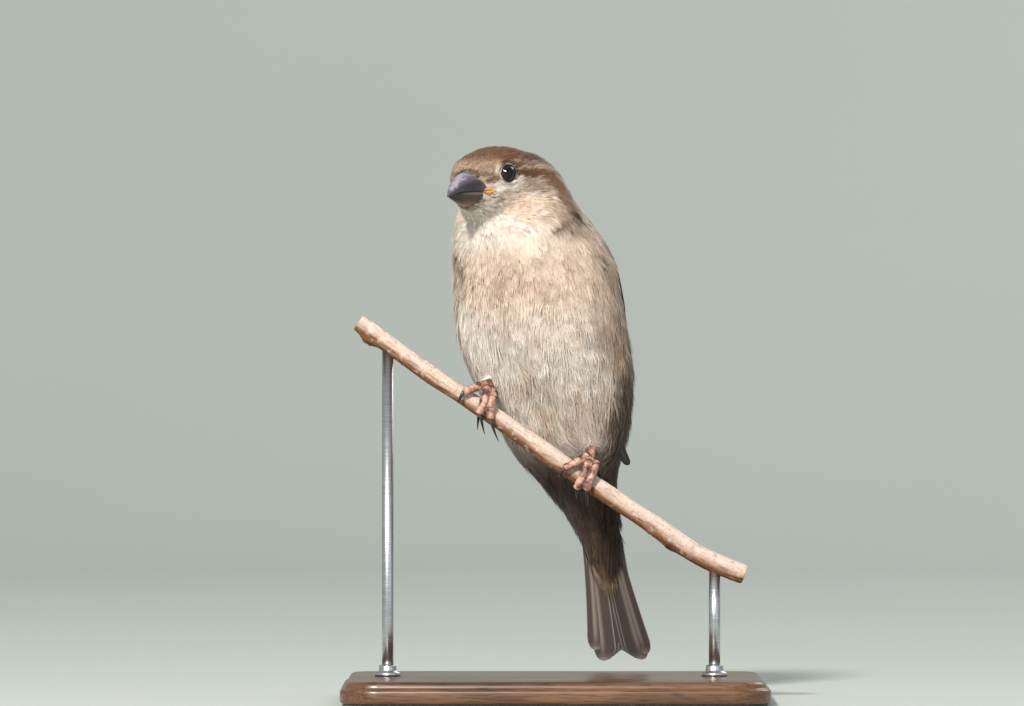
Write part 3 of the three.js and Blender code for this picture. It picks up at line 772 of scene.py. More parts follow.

# The markings of a female house sparrow in fresh plumage, the same on skin and coat: brown crown,
# pale line over the eye, brown stripe behind it, buff cheek, cream throat, pinkish buff breast,
# streaked back. Painted shade also darkens the lower breast and flank of the bird's left side and the
# vent. Places are in the head's own millimetres, or by height and degrees on the trunk.
EYE_SEEN = (15.4, 9.1, 5.75)  # middle of the open eye: back, out, up
CROWN_LINE = ((9, 12, 15, 18, 24, 30, 33, 37), (4.6, 6.6, 8.5, 9.3, 9.3, 8.8, 7.8, 4.5))
FLANK_LINE = ((60, 67, 75, 86, 92), (12.0, 13.2, 14.6, 18.8, 23.0))  # height, X where the shade starts
NECK_STROKES = 10  # so many of the last strokes run on over the neck
# Strokes of the head: from, to (back, out, up), half width, softness, strength, colour.
HEAD_STROKES = [
    ((9.5, 4.2, 4.6), (14.2, 7.6, 5.0), 1.6, 1.2, 0.75, "a98f79"),
    ((7.0, 1.8, 7.6), (13.6, 6.4, 8.9), 0.7, 0.8, 0.6, "c4a588"),
    ((17.4, 9.8, 7.9), (27.6, 12.8, 8.1), 0.7, 0.5, 0.85, "a07e60"),
    ((17.4, 9.8, 7.6), (24.8, 12.4, 7.55), 0.2, 0.3, 0.6, "bb9e81"),
    ((24.6, 12.6, 7.5), (27.0, 13.2, 7.9), 0.3, 0.4, 0.5, "cbb7a3"),
    ((14.8, 8.2, 8.9), (18.6, 10.2, 8.6), 0.65, 0.4, 0.95, "4c321d"),
    ((18.6, 10.2, 8.7), (27.0, 12.4, 9.3), 0.6, 0.6, 0.85, "6b4529"),
    ((18.8, 10.6, 4.2), (19.6, 11.4, 2.2), 0.5, 0.6, 0.7, "ddd0c3"),
    ((22.5, 12.2, 3.7), (28.0, 14.5, 3.0), 1.7, 1.0, 0.85, "8e7b6a"),
    ((20.5, 11.2, 4.9), (26.5, 13.6, 4.6), 0.5, 0.5, 0.6, "ad957f"),
    ((18.6, 10.9, 1.3), (26.0, 14.0, 1.9), 0.22, 0.35, 0.7, "86705e"),
    ((20.0, 12.6, -0.3), (26.0, 15.2, -0.7), 0.9, 1.0, 0.45, "c0a995"),
    ((17.4, 10.0, 6.7), (18.7, 10.6, 6.4), 0.3, 0.3, 1.0, "2f2018"),
    ((9.2, 3.2, 5.6), (12.4, 6.6, 5.4), 0.6, 0.6, 0.8, "6e523e"),
    ((10.8, 5.6, 3.6), (13.4, 7.8, 4.6), 0.5, 0.5, 0.85, "5d4a3e"),
    ((12.2, 6.6, 6.6), (13.8, 7.2, 8.2), 0.3, 0.4, 0.7, "7a5e49"),
    ((11.4, 5.6, 7.2), (13.0, 6.0, 8.6), 0.3, 0.4, 0.6, "8a6c53"),
    ((13.4, 7.2, 8.0), (12.8, 7.3, 6.2), 0.4, 0.5, 0.6, "d9c6b0"),
    ((12.8, 7.9, 1.9), (17.2, 9.8, 2.5), 1.0, 0.9, 0.8, "f0e6dc"),
    ((13.6, 8.3, 2.6), (16.4, 9.5, 2.7), 0.18, 0.25, 0.7, "6f5d50"),
    ((14.0, 8.5, 0.9), (16.0, 9.4, 1.3), 0.2, 0.3, 0.5, "8b7a6d"),
    ((17.6, 9.5, -1.6), (26.0, 15.0, -2.2), 1.6, 1.6, 0.5, "e6c9ae"),
    ((16.9, 7.6, -4.1), (22.2, 14.0, -6.0), 1.0, 1.1, 0.6, "e8cbae"),
    ((18.8, 10.5, 6.2), (28.4, 13.6, 6.0), 0.8, 0.5, 0.95, "5f3e26"),
    ((27.0, 13.6, 6.0), (30.2, 14.6, 4.2), 1.3, 0.8, 0.95, "74513a"),
    ((30.2, 14.6, 4.2), (31.6, 15.9, 0.8), 1.4, 0.9, 0.95, "7b5943"),
    ((31.6, 15.9, 0.8), (32.6, 18.4, -3.0), 1.5, 1.0, 0.85, "8b6d57"),
    ((28.0, 16.3, -1.2), (29.2, 16.8, -0.6), 0.4, 0.35, 1.0, "33231a"),
    ((26.4, 16.0, -2.0), (27.0, 16.2, -2.5), 0.35, 0.35, 0.8, "4a372b"),
    ((28.0, 20.0, -6.0), (33.0, 21.5, -11.0), 2.2, 2.0, 0.85, "8f7a68"),
    ((23.0, 18.0, -9.2), (30.0, 20.6, -8.6), 0.8, 0.7, 0.95, "47362a"),
    ((19.6, 14.6, -11.6), (23.2, 18.0, -10.3), 0.55, 0.7, 0.85, "755d4b"),
    ((31.2, 19.6, -4.4), (32.8, 21.0, -6.2), 0.85, 0.8, 0.95, "3d2e23"),
]
# Strokes of the trunk: height and degrees of both ends, half width, softness, strength, colour.
BODY_STROKES = [
    ((117, -66), (112, -46), 1.1, 1.0, 0.85, "735b49"),
    ((121, -56), (118.6, -42), 1.4, 1.2, 0.7, "efe2d2"),
    ((116, 78), (107, 86), 0.7, 0.8, 0.6, "5d4a3c"),
    ((112, -4), (98, -8), 3.0, 3.5, 0.18, "9a7f69"),
    ((100, 12), (84, 6), 4.0, 4.0, 0.14, "a98c72"),
    ((98, -44), (74, -26), 4.5, 4.0, 0.8, "f5ebe0"),
    ((98, 34), (80, 42), 4.0, 4.0, 0.3, "dccdbc"),
]

# Strokes of the head are laid on from ahead of the cheek: in that direction a distance counts less.
CHEEK_VIEW = np.array([[0.53, -0.25, 0.0], [0.848, 0.16, 0.0], [0.0, 0.0, 1.0]])


def stroke_amount(points, start, end, half_width, soft):
    """How far inside a stroke from start to end each point lies, with a soft edge."""
    start, end = np.array(start, float), np.array(end, float)
    way = end - start
    share = np.clip((points - start) @ way / (way @ way), 0, 1)
    away = np.linalg.norm(points - start - share[:, None] * way, axis=1)
    return ease(half_width + soft, half_width - soft * 0.4, away)


def head_share(points):
    """1 on the head and 0 on the trunk."""
    back, out, up = head_place(points)
    away = np.sqrt((back - 21) ** 2 + out**2 + (up - 3.5) ** 2)
    return ease(22.0, 13.0, away)


def coat_colour(points):
    """Colour of the plumage at points on or near the coat, with painted shade on the left flank and vent."""
    back, out, up = head_place(points)
    height, degrees = body_place(points)
    aside = np.abs(degrees)
    blotch = smooth_noise(points, 6.0, 2.0)
    fine_blotch = smooth_noise(points * (1, 1, 0.45), 2.6, 6.0)
    flank_line = np.interp(height, *FLANK_LINE)
    # How far into the painted shade over the darker brown of the left lower flank each point lies
    flank_dark_and_painted_shade = ease(-1.6, 1.4, points[:, 0] - flank_line) * ease(94, 84, height)
    colour = painted(
        "dac4b2",
        # Pale belly, browner sides and lower flanks; the last coat is painted shade on the bird's left side
        ("f2eae1", ease(108, 92, height) * ease(82, 42, aside)),
        ("c3ac97", ease(45, 95, aside) * ease(126, 112, height) * 0.8),
        ("a8937f", ease(84, 66, height) * ease(25, 75, aside) * 0.6),
        ("a49382", ease(86, 74, height) * ease(70, 40, aside) * 0.7),
        # painted shade: the breast and belly of the bird's left side darker
        ("9c8875", ease(106, 90, height) * ease(35, 75, degrees) * 0.85),
        # Blotches, and the pale throat
        ("cfae8c", ease(0.05, 0.5, blotch) * ease(104, 90, height) * 0.5),
        ("bd9f86", ease(-0.05, -0.45, blotch) * 0.28),
        ("a88d76", ease(0.1, 0.5, fine_blotch) * 0.5),
        ("fbf4ea", ease(-0.12, -0.45, fine_blotch) * ease(98, 84, height) * 0.6),
        ("eee2d4", ease(114, 123, height) * ease(62, 26, np.abs(degrees + 8)) * 0.9),
        # Painted shade over darker brown on the left lower flank and the vent; tan tips under the tail
        ("483b31", flank_dark_and_painted_shade * 0.85),
        # the vent: its own darker brown with painted shade below the branch
        ("453930", ease(68, 58, height) * 0.94),
        ("2f2721", ease(62, 54, height) * ease(22, 50, aside) * 0.8),
        ("8a7052", ease(40, 36, height) * ease(2.0, 0.8, np.abs(points[:, 0] - 12.6)) * 0.6),
        # Back and rump
        ("84684d", ease(108, 128, aside) * ease(70, 84, height)),
        ("83705b", ease(108, 128, aside) * ease(84, 70, height)),
    )
    for (high, first), (low, last), half_width, soft, strength, code in BODY_STROKES:
        start, end = (body_surface(h, math.radians(d)) for h, d in ((high, first), (low, last)))
        colour = painted(colour, (code, strength * stroke_amount(points, start, end, half_width, soft)))
    # Head, worked out on one side and mirrored
    side = np.stack([back, np.abs(out), up], 1)
    cheek = side @ CHEEK_VIEW
    over = up - np.interp(back, *CROWN_LINE)
    crown = painted(
        "ad957f",
        ("7f573b", ease(11, 17, back)),
        ("4a3424", ease(23, 28, back) * ease(0.5, -0.8, over - 2.2) * 0.85),
        ("8d7763", ease(31, 36, back)),
    )
    face = painted(
        "d3c3b7",
        ("ebdfd4", ease(-2.0, -5.0, up) * ease(15, 8, side[:, 1])),
        ("a28c77", ease(27, 33, back) * ease(-8, 1, up)),
    )
    face = blended(face, crown, ease(-0.5, 0.6, over + 0.35 * smooth_noise(points, 1.2, 4.0)))
    drawn_out = smooth_noise(np.stack([back * 0.28, out, up], 1), 0.75, 23.0)
    face = blended(face, face * rgb("a98a72") * 1.3, ease(0.05, 0.45, drawn_out) * 0.55)
    face = blended(face, np.minimum(face * 1.35, 1), ease(-0.1, -0.5, drawn_out) * 0.4)
    strokes = [
        (code, strength * stroke_amount(cheek, start @ CHEEK_VIEW, end @ CHEEK_VIEW, half_width, soft))
        for start, end, half_width, soft, strength, code in HEAD_STROKES
    ]
    colour = blended(colour, painted(face, *strokes), head_share(points))
    neck = ease(120, 124, height)
    return painted(colour, *((code, neck * amount) for code, amount in strokes[-NECK_STROKES:]))


BARE_SKIN, CLAW_END_SKIN = rgb("7c5848"), rgb("5f463d")
skin_colour = coat_colour(skin_points) * 0.82
skin_colour = blended(skin_colour, BARE_SKIN, 1 - covered)
toe_shade = smooth_noise(skin_points, 1.6, 8.0)
skin_colour = blended(skin_colour, CLAW_END_SKIN, (1 - covered) * ease(0.0, 0.5, toe_shade) * 0.6)
tint_points(skin, skin_colour)
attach(skin, "root")
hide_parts("trunk", "neck", "head", "leg_left", "leg_right")

# ---- contour feathers
# The small feathers of head and trunk. Each is a loose vane of separate soft barbs that roots in the
# skin, points away from the bill and down the body, and overlaps the ones behind it like a tile.

BILL_ROOT = head_point(3.5, 0.0, 0.6)
HEAD_MIDDLE = head_point(22.0, 0.0, 3.0)
GAPE_SEEN = (11.1, 5.5, 1.3)  # the corner of the mouth
STREAK_COLOUR = rgb("3d2c20")
DOWN_BODY = unit(np.array([0.18, 0.30, -0.94]))
FEATHER_STEPS = 6  # points along a feather's middle line, less one
ROOTS_TRIED = 120000
FEATHER_SEED = 11
# By distance from the bill's root: gap between feathers, feather length, half width, barb half width.
FEATHER_SIZES = (
    (0, 8, 14, 20, 30, 42, 60),
    {
        "gap": (0.42, 0.46, 0.56, 0.70, 0.90, 1.08, 1.15),
        "length": (1.3, 1.9, 2.9, 4.4, 6.6, 9.0, 10.5),
        "half_width": (0.35, 0.5, 0.75, 1.15, 1.8, 2.5, 2.8),
        "barb": (0.045, 0.055, 0.07, 0.085, 0.10, 0.12, 0.13),
    },
)
# What the feathers part round: middle, radius.
PARTED = [(on_side(EYE_SEEN, side), 2.55) for side in (1, -1)]
PARTED += [(on_side(GAPE_SEEN, side), 1.05) for side in (1, -1)]
# Along the folded wing: height, degrees of its front edge and back edge, lift over the coat.
WING = [
    (121.5, 120, 134, -0.6), (117, 117, 146, -0.5), (108, 115, 156, -0.4), (96, 113, 162, -0.3),
    (86, 112, 166, -0.2), (76, 112, 168, 0.0), (68, 115, 170, 0.3), (62, 123, 171, 0.6),
    (55, 137, 172, 0.9), (48.5, 150, 174, 1.0), (43.5, 161, 173, 0.9),
]
WING_CURVE = dense(WING)
TAIL_BASE, TAIL_TIP = np.array([10.2, 20.6, 53.0]), np.array([18.6, 37.4, 8.9])
down_tail = unit(TAIL_TIP - TAIL_BASE)
tail_face = unit(np.cross(TRUNK_LEFT, down_tail))
tail_across = np.cross(down_tail, tail_face)
underside = tail_face if tail_face[1] < 0 else -tail_face
LEFT_KNEE = np.array([10.2, 6.0, 68.0])
RIGHT_KNEE = np.array([-14.5, 5.0, 87.0])

skin_mesh_points = points_of(skin.data)
skin_faces = [tuple(face.vertices) for face in skin.data.polygons]
skin_tree = BVHTree.FromPolygons(skin_mesh_points.tolist(), skin_faces)
rng = np.random.default_rng(FEATHER_SEED)


def on_skin(points):
    """Nearest place on the skin to each point, and the skin's outward direction there."""
    found = [skin_tree.find_nearest(p) for p in points.tolist()]
    return np.array([f[0] for f in found]), np.array([f[1] for f in found])


def lie_of_coat(points):
    """Direction in which feathers lie at points: away from the bill, round the eyes, down the body."""
    back, _, _ = head_place(points)
    away = unit(points - BILL_ROOT)
    on_head = ease(25, 13, np.linalg.norm(points - HEAD_MIDDLE, axis=1)) * ease(38, 24, back)
    flow = on_head[:, None] * away + (1 - on_head)[:, None] * DOWN_BODY
    for knee, pull in ((LEFT_KNEE, 0.9), (RIGHT_KNEE, 0.5)):
        apart = knee - points
        near = ease(15, 4, np.linalg.norm(apart, axis=1)) * pull
        flow = flow + near[:, None] * unit(apart)
    low = ease(60, 46, points[:, 2])
    drift = (points - TAIL_BASE) @ TRUNK_LEFT
    flow = flow - (low * np.clip(drift / 7.0, -1, 1) * 0.4)[:, None] * TRUNK_LEFT
    for middle, radius in PARTED:
        apart = points - middle
        gap = np.linalg.norm(apart, axis=1)
        outward = unit(apart)
        push = ease(2.3 * radius, 0.9 * radius, gap)
        inward = np.minimum(np.einsum("ij,ij->i", flow, outward), 0)
        flow = flow - (push * inward * 1.15)[:, None] * outward
    return unit(flow)


def coat_depth(points):
    """Depth from the coat's outside to the skin."""
    back, _, _ = head_place(points)
    share = head_share(points)
    return share * np.interp(back, *HEAD_COAT) + (1 - share) * np.interp(points[:, 2], *BODY_COAT)


def feather_size(points, what):
    """A size of the feathers at points."""
    return np.interp(np.linalg.norm(points - BILL_ROOT, axis=1), FEATHER_SIZES[0], FEATHER_SIZES[1][what])


def spread_roots(count):
    """Places on the skin that keep the feathers' own gap from one another."""
    corners = np.array([face[:4] for face in skin_faces if len(face) == 4])
    a, b, c, d = (skin_mesh_points[corners[:, k]] for k in range(4))
    area = np.linalg.norm(np.cross(c - a, d - b), axis=1)
    middle = (a + b + c + d) / 4
    density = area / feather_size(middle, "gap") ** 2
    chosen = rng.choice(len(corners), count, p=density / density.sum())
    u, v = rng.random((2, count, 1))
    tried = (a[chosen] * (1 - u) + b[chosen] * u) * (1 - v) + (d[chosen] * (1 - u) + c[chosen] * u) * v
    gaps = feather_size(tried, "gap")
    cell = 1.7
    kept, cells = [], {}
    for k, (point, gap) in enumerate(zip(tried.tolist(), gaps.tolist())):
        home = [int(math.floor(x / cell)) for x in point]
        steps = itertools.product((-1, 0, 1), repeat=3)
        near = [p for step in steps for p in cells.get(tuple(map(sum, zip(home, step))), ())]
        if all(sum((a - b) ** 2 for a, b in zip(point, p)) > gap * gap for p in near):
            cells.setdefault(tuple(home), []).append(point)
            kept.append(k)
    return tried[kept]


roots = spread_roots(ROOTS_TRIED)
roots = roots[(near_plumage(roots) < 0.7) & (roots[:, 2] > 42.6)]
back, out, up = head_place(roots)
in_bill = (back < 8.9) | ((back < 11.4) & (up > -1.4) & (up < 3.4))
in_bill |= (back < 11.6) & (np.abs(out) < 3.6) & (up < 4.6) & (up > -1.6)
roots = roots[~in_bill]
height, degrees = body_place(roots)
front, behind, _ = lookup(WING_CURVE, height)
under_wing = (np.abs(degrees) > front + 12) & (np.abs(degrees) < behind - 8)
under_wing &= (height > 50) & (height < 118)
roots = roots[~under_wing]
for middle, radius in PARTED:
    roots = roots[np.linalg.norm(roots - middle, axis=1) > radius]


def feather_lines(roots, lengths, turn):
    """Middle line of each feather along the skin, with the skin's outward direction at each point."""
    place, outward = on_skin(roots)
    lines, normals = [place], [outward]
    for _ in range(FEATHER_STEPS):
        flow = lie_of_coat(place)
        off_tail = ((place - TAIL_BASE) @ underside)[:, None] - 0.7
        off_middle = ((place - TAIL_BASE) @ tail_across)[:, None]
        to_tail = down_tail - 0.09 * off_tail * underside - 0.05 * off_middle * tail_across
        flow = unit(flow + ease(48, 43, place[:, 2])[:, None] * 12 * to_tail)
        side = np.cross(outward, flow)
        flow = flow * np.cos(turn)[:, None] + side * np.sin(turn)[:, None]
        flow = unit(flow - np.einsum("ij,ij->i", flow, outward)[:, None] * outward)
        ahead = place + flow * (lengths / FEATHER_STEPS)[:, None] + outward * 0.05
        place, outward = on_skin(ahead)
        past_end = (ahead[:, 2] < 43.5) & (flow @ DOWN_BODY > 0.8)
        place = np.where(past_end[:, None], ahead, place)
        outward = unit(0.5 * normals[-1] + np.where(past_end[:, None], normals[-1], outward))
        lines.append(place)
        normals.append(outward)
    return np.stack(lines, 1), np.stack(normals, 1)


root_height, root_degrees = body_place(roots)
root_back, _, root_up = head_place(roots)
root_head, root_depth = head_share(roots), coat_depth(roots)
root_aside = np.abs(root_degrees)
lengths = feather_size(roots, "length") * rng.uniform(0.85, 1.15, len(roots))
# Some of the belly's feathers are long plumes, and those before the tail are longer too.
plume = (rng.random(len(roots)) < 0.09) & (root_height < 104) & (root_height > 60) & (root_aside < 80)
vent_plume = (root_height < 52) & (np.abs(roots[:, 0] - 11.6) < 4.6)
lengths = lengths * np.where(plume, 1.75, 1.0) * np.where(vent_plume, 1.6, 1.0)
sway = 0.3 * smooth_noise(roots, 5.0, 14.0) + rng.normal(0, 0.12, len(roots))
sway *= (1 - 0.6 * root_head) * ease(42, 54, root_height)
lines, normals = feather_lines(roots, lengths, sway)
eye_crossed = np.zeros(len(roots), bool)
for side in (1, -1):
    eye_crossed |= np.linalg.norm(lines - on_side(EYE_SEEN, side), axis=2).min(1) < 2.5


def barbs(lines, normals, options, count, steps=4):
    """Barbs of many feathers at once: points[feather, barb, point], faces, and each point's place.

    options holds one value for each feather: half_width, barb, low and high (the heights of its root
    and tip over the skin), ragged (how unlike its barbs are) and lift (how far its tip stands out).
    """
    feathers, samples = lines.shape[:2]
    t = np.linspace(0, 1, steps + 1)
    lane = (np.arange(count) + 0.5) / count * 2 - 1
    lane = lane + rng.uniform(-0.6, 0.6, (feathers, count)) / count
    half_width, low_height, high, lift, barb = (
        options[what][:, None, None] for what in ("half_width", "low", "high", "lift", "barb")
    )
    ragged = options["ragged"][:, None]
    reach = (1 - 0.34 * lane**2) * rng.uniform(1 - 0.55 * ragged, 1 + 0.1 * ragged, (feathers, count))
    start = np.abs(lane) * 0.18 + rng.uniform(0, 0.12, (feathers, count))
    share = start[..., None] + (np.clip(reach, 0.3, 1.05) - start)[..., None] * t
    place = np.clip(share, 0, 1) * (samples - 1)
    low = np.minimum(place.astype(int), samples - 2)
    weight = (place - low)[..., None]
    which = np.arange(feathers)[:, None, None]
    middle = lines[which, low] * (1 - weight) + lines[which, low + 1] * weight
    over = lines[which, low + 1] - lines[which, low]
    beyond = np.maximum(share - 1, 0)[..., None] * (samples - 1)
    middle = middle + over * beyond
    outward = unit(normals[which, low] * (1 - weight) + normals[which, low + 1] * weight)
    along = unit(over)
    side = unit(np.cross(outward, along))
    one_each = (feathers, count, 1)
    spread = half_width * lane[..., None] * np.clip(share, 0, 1.1) ** 0.75
    high = high * rng.uniform(0.88, 1.06, one_each)
    height = low_height + (high - low_height) * np.clip(share, 0, 1) ** 0.6
    height = height + lift * share**2.2 * rng.uniform(0.4, 1.3, one_each)
    bow = 0.25 * half_width * lane[..., None] ** 2
    wave = rng.normal(0, 0.22, one_each) * half_width * t**2 * ragged[..., None]
    middle = middle + side * (spread + wave)[..., None] + outward * (height - bow * share)[..., None]
    roll = rng.normal(0, 0.12, (feathers, count, 1, 1)) - 0.18 * lane[..., None, None]
    flat = unit(side * np.cos(roll) + outward * np.sin(roll))
    swell = np.array([0.55, 1.0, 0.95, 0.68, 0.0] if steps == 4 else [0.6, 1.0, 0.75, 0.0])
    half = barb * rng.uniform(0.75, 1.3, one_each) * swell
    left, right = middle - flat * half[..., None], middle + flat * half[..., None]
    points = np.empty((feathers, count, 2 * steps + 1, 3))
    points[:, :, 0 : 2 * steps : 2] = left[:, :, :steps]
    points[:, :, 1 : 2 * steps : 2] = right[:, :, :steps]
    points[:, :, 2 * steps] = middle[:, :, steps]
    position = np.repeat(share, 2, axis=2)[:, :, : 2 * steps + 1]
    position[:, :, 2 * steps] = share[:, :, steps]
    return points, position, lane


def barb_faces(count, steps=4):
    """Quads and tip triangles of so many barbs, each stored as pairs of points and then its tip."""
    first = (np.arange(count) * (2 * steps + 1))[:, None]
    quads = [first + np.array([2 * k, 2 * k + 1, 2 * k + 3, 2 * k + 2]) for k in range(steps - 1)]
    return np.concatenate(quads), first + np.array([2 * steps - 2, 2 * steps - 1, 2 * steps])


DOWN_GREY = rgb("8a7f76")


def barb_colours(lines, normals, depth, position, lane, streak, edge):
    """Colour at each barb point: grey down at the root, the markings beyond, a dark shaft streak."""
    feathers, samples = lines.shape[:2]
    seen = lines + normals * depth[:, None, None]
    pattern = np.stack([coat_colour(seen[:, k]) for k in (1, samples // 2, samples - 1)], 1)
    place = np.clip(position, 0, 1) * 2
    low = np.minimum(place.astype(int), 1)
    weight = (place - low)[..., None]
    which = np.arange(feathers)[:, None, None]
    colour = pattern[which, low] * (1 - weight) + pattern[which, low + 1] * weight
    central = np.exp(-((lane / 0.3) ** 2))[..., None] * streak[:, None, None]
    central = central * ease(0.1, 0.5, position) * ease(1.1, 0.75, position)
    colour = blended(colour, STREAK_COLOUR, central)
    colour = colour * (1 + edge[:, None, None, None] * (np.abs(lane)[..., None, None] ** 2 - 0.3))
    colour = blended(colour, DOWN_GREY, 0.5 * ease(0.35, 0.0, position))
    barb_shade = np.exp(rng.normal(0, 0.055, lane.shape))[..., None, None]
    feather_shade = np.exp(rng.normal(0, 0.1, feathers))[:, None, None, None]
    colour = colour * (0.84 + 0.26 * ease(0.4, 1.0, position))[..., None]
    return colour * barb_shade * feather_shade


def coat_map(lines, position, lane):
    """Each feather's patch on the skin's unwrap: round the body across, along the body upwards."""
    root = lines[:, 0]
    _, degrees = body_place(root)
    _, out, up = head_place(root)
    run = ease(25, 13, np.linalg.norm(root - HEAD_MIDDLE, axis=1))
    down = 0.08 + 0.86 * (root - BILL_TIP) @ DOWN_BODY / 110.0 + 0.03 * run
    up_angle = np.degrees(np.arctan2(out, 3 - up))
    round_share = (degrees * (1 - run) + up_angle * run) / 360 + 0.5
    patch = 0.003
    across = round_share[:, None, None] * 0.96 + 0.02 + patch * 0.5 * lane[..., None]
    along = np.clip(down, 0.01, 0.99)[:, None, None] + patch * (np.clip(position, 0, 1) - 0.5)
    return np.stack(np.broadcast_arrays(across, along), -1)


def set_map(piece, coordinates, name="OFBake"):
    """Gives a piece's faces a map from one coordinate for each of its points."""
    corner = np.empty(len(piece.data.loops), np.int32)
    piece.data.loops.foreach_get("vertex_index", corner)
    layer = piece.data.uv_layers.new(name=name)
    layer.data.foreach_set("uv", coordinates.reshape(-1, 2)[corner].astype(np.float32).ravel())


# Soft barbs: matt keratin that scatters light, with a silky sheen where it is seen edge on.
barb_look, tree, shader = make_material(
    "soft_barbs", Roughness=0.78, Specular_IOR_Level=0.22, Sheen_Weight=0.25, Sheen_Roughness=0.4
)
link_tones(tree, shader, grain_pattern(tree, 1.111), [(0.3, "dcd6d0"), (0.6, "ffffff")], "tint", 0.4)
perch_spine = along_branch(branch_middle, np.linspace(0, 1, 160))
perch_girth = branch_radius(np.linspace(0, 1, 160))


def clear_of_perch(points):
    """Which points lie outside the perch."""
    clear = np.ones(points.shape[:2], bool)
    for middle, radius in zip(perch_spine, perch_girth):
        clear &= ((points - middle) ** 2).sum(-1) > (radius + 0.15) ** 2
    return clear


def feather_piece(name, chosen, count, steps):
    """One piece of the coat: the feathers chosen, each of count barbs."""
    line, normal = lines[chosen], normals[chosen]
    options = {what: values[chosen] for what, values in feather_options.items()}
    points, position, lane = barbs(line, normal, options, count, steps)
    depth = coat_depth(line[:, 0])
    colours = barb_colours(line, normal, depth, position, lane, options["streak"], options["edge"])
    # Barbs that would run into the perch are left out.
    kept = clear_of_perch(points[:, :, steps]) & clear_of_perch(points[:, :, 2 * steps])
    piece = make_piece(name, points[kept].reshape(-1, 3), barb_faces(kept.sum(), steps), barb_look)
    tint_points(piece, colours[kept].reshape(-1, 3))
    set_map(piece, coat_map(line, position, lane)[kept])
    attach(piece, "root")


# Single tips that stand off the outline: place in X and Z, reach.
WISPS = (((13.2, 121.0), 3.2), ((18.8, 98.5), 1.8), ((20.6, 80.0), 1.6), ((-27.0, 120.0), 2.4))
over_crown = root_head * ease(-0.5, 0.5, root_up - np.interp(root_back, *CROWN_LINE))
on_back = (1 - root_head) * ease(115, 140, root_aside)
low_vent = (1 - root_head) * ease(64, 52, root_height)
loose = ease(100, 84, root_height) * ease(90, 60, root_aside)
standing = np.zeros(len(roots))
near_tail = ease(54, 43, root_height)
for wisp, reach in WISPS:
    apart = np.linalg.norm(roots[:, [0, 2]] - np.array(wisp), axis=1)
    standing = np.maximum(standing, ease(reach, 0.3 * reach, apart))
standing = np.maximum(standing, (rng.random(len(roots)) < 0.015) * (1 - root_head) * 0.6)
left_flank = ease(80, 100, root_degrees) * ease(112, 100, root_height)
left_flank = left_flank * ease(68, 78, root_height)
dark_back = on_back * ease(70, 84, root_height)
half_width = feather_size(roots, "half_width") * rng.uniform(0.85, 1.2, len(roots))
high = root_depth * rng.uniform(0.75, 1.0, len(roots)) * (1 - 0.6 * near_tail)
ragged = 0.3 * (1 - 0.6 * near_tail) + 0.5 * plume + 0.3 * loose + 0.3 * rng.random(len(roots))
lift = 0.2 * root_depth * rng.random(len(roots)) ** 3 + 2.4 * standing
feather_options = {
    "half_width": half_width,
    "barb": feather_size(roots, "barb"),
    "low": 0.2 * root_depth,
    "high": high + 0.9 * left_flank + 0.35 * plume,
    "ragged": ragged + 0.4 * standing,
    "lift": lift * (1 - near_tail),
    "streak": np.clip(0.05 + 0.45 * over_crown + 0.8 * dark_back + 0.6 * low_vent, 0, 0.9),
    "edge": 0.05 + 0.25 * over_crown + 0.35 * on_back + 0.4 * low_vent,
}
on_trunk = (root_head <= 0.5) & ~eye_crossed
on_head = (root_head > 0.5) & ~eye_crossed
ahead, upper = on_trunk & (root_aside < 68), root_height > 112
aside = on_trunk & ~upper & (root_aside >= 68) & (root_aside < 125)
REGIONS = {
    "face": on_head & (root_back < 15.5),
    "crown": on_head & (root_back >= 15.5) & (root_up > 6.5),
    "cheeks": on_head & (root_back >= 15.5) & (root_up <= 6.5),
    "neck_front": on_trunk & upper & (root_aside < 90),
    "neck_back": on_trunk & upper & (root_aside >= 90),
    "breast": ahead & ~upper & (root_height > 97),
    "belly": ahead & (root_height <= 97) & (root_height > 83),
    "belly_low": ahead & (root_height <= 83) & (root_height > 68),
    "vent": ahead & (root_height <= 68),
    "flank_left": aside & (root_degrees > 0),
    "flank_right": aside & (root_degrees <= 0),
    "back": on_trunk & ~upper & (root_aside >= 125),
}
BARBS = {"face": 9, "crown": 10, "cheeks": 11, "neck_front": 16, "neck_back": 16}
BODY_BARBS = 22
for region, chosen in REGIONS.items():
    steps = 3 if region == "face" else 4
    feather_piece(f"feathers_{region}", chosen, BARBS.get(region, BODY_BARBS), steps)

# ---- eyes and lids
# Near-black glossy eyes set deep in the head. Each looks out through a round opening between bare,
# finely folded lids: a thin dark rim and a pale ring outside it.

CORNEA_RADIUS, CORNEA_AHEAD = 2.1, 1.6  # the clear front bulges out of the ball
ORBIT_CUP, CUP_DEGREES = 3.42, (76, 88, 100, 114, 128)  # the lids run on behind the eyeball
IRIS_RADIUS, PUPIL_RADIUS = 2.5, 1.35
LID_COLUMNS = 72
# Lid from the eye outwards: distance from the eye's axis, height over the eyeball, how dark.
LID_PROFILE = [
    (2.14, -0.14, 1.0), (2.15, 0.02, 1.0), (2.18, 0.13, 1.0), (2.24, 0.2, 0.95), (2.3, 0.23, 0.75),
    (2.37, 0.22, 0.3), (2.45, 0.24, 0.05), (2.54, 0.2, 0.2), (2.62, 0.13, 0.45), (2.74, 0.15, 0.3),
    (2.9, 0.04, 0.5), (3.05, -0.2, 0.6), (3.15, -0.5, 0.7),
]

# Eye: a wet dark ball; the clear outer coat gives one sharp highlight.
TINT = ("ShaderNodeAttribute", {"attribute_name": "tint"})  # a piece's own colours, point by point
eye_look, tree, shader = make_material("wet_eye", Roughness=0.11, IOR=1.42, Specular_IOR_Level=0.5)
tree.links.new(add_node(tree, *TINT).outputs["Color"], shader.inputs["Base Color"])

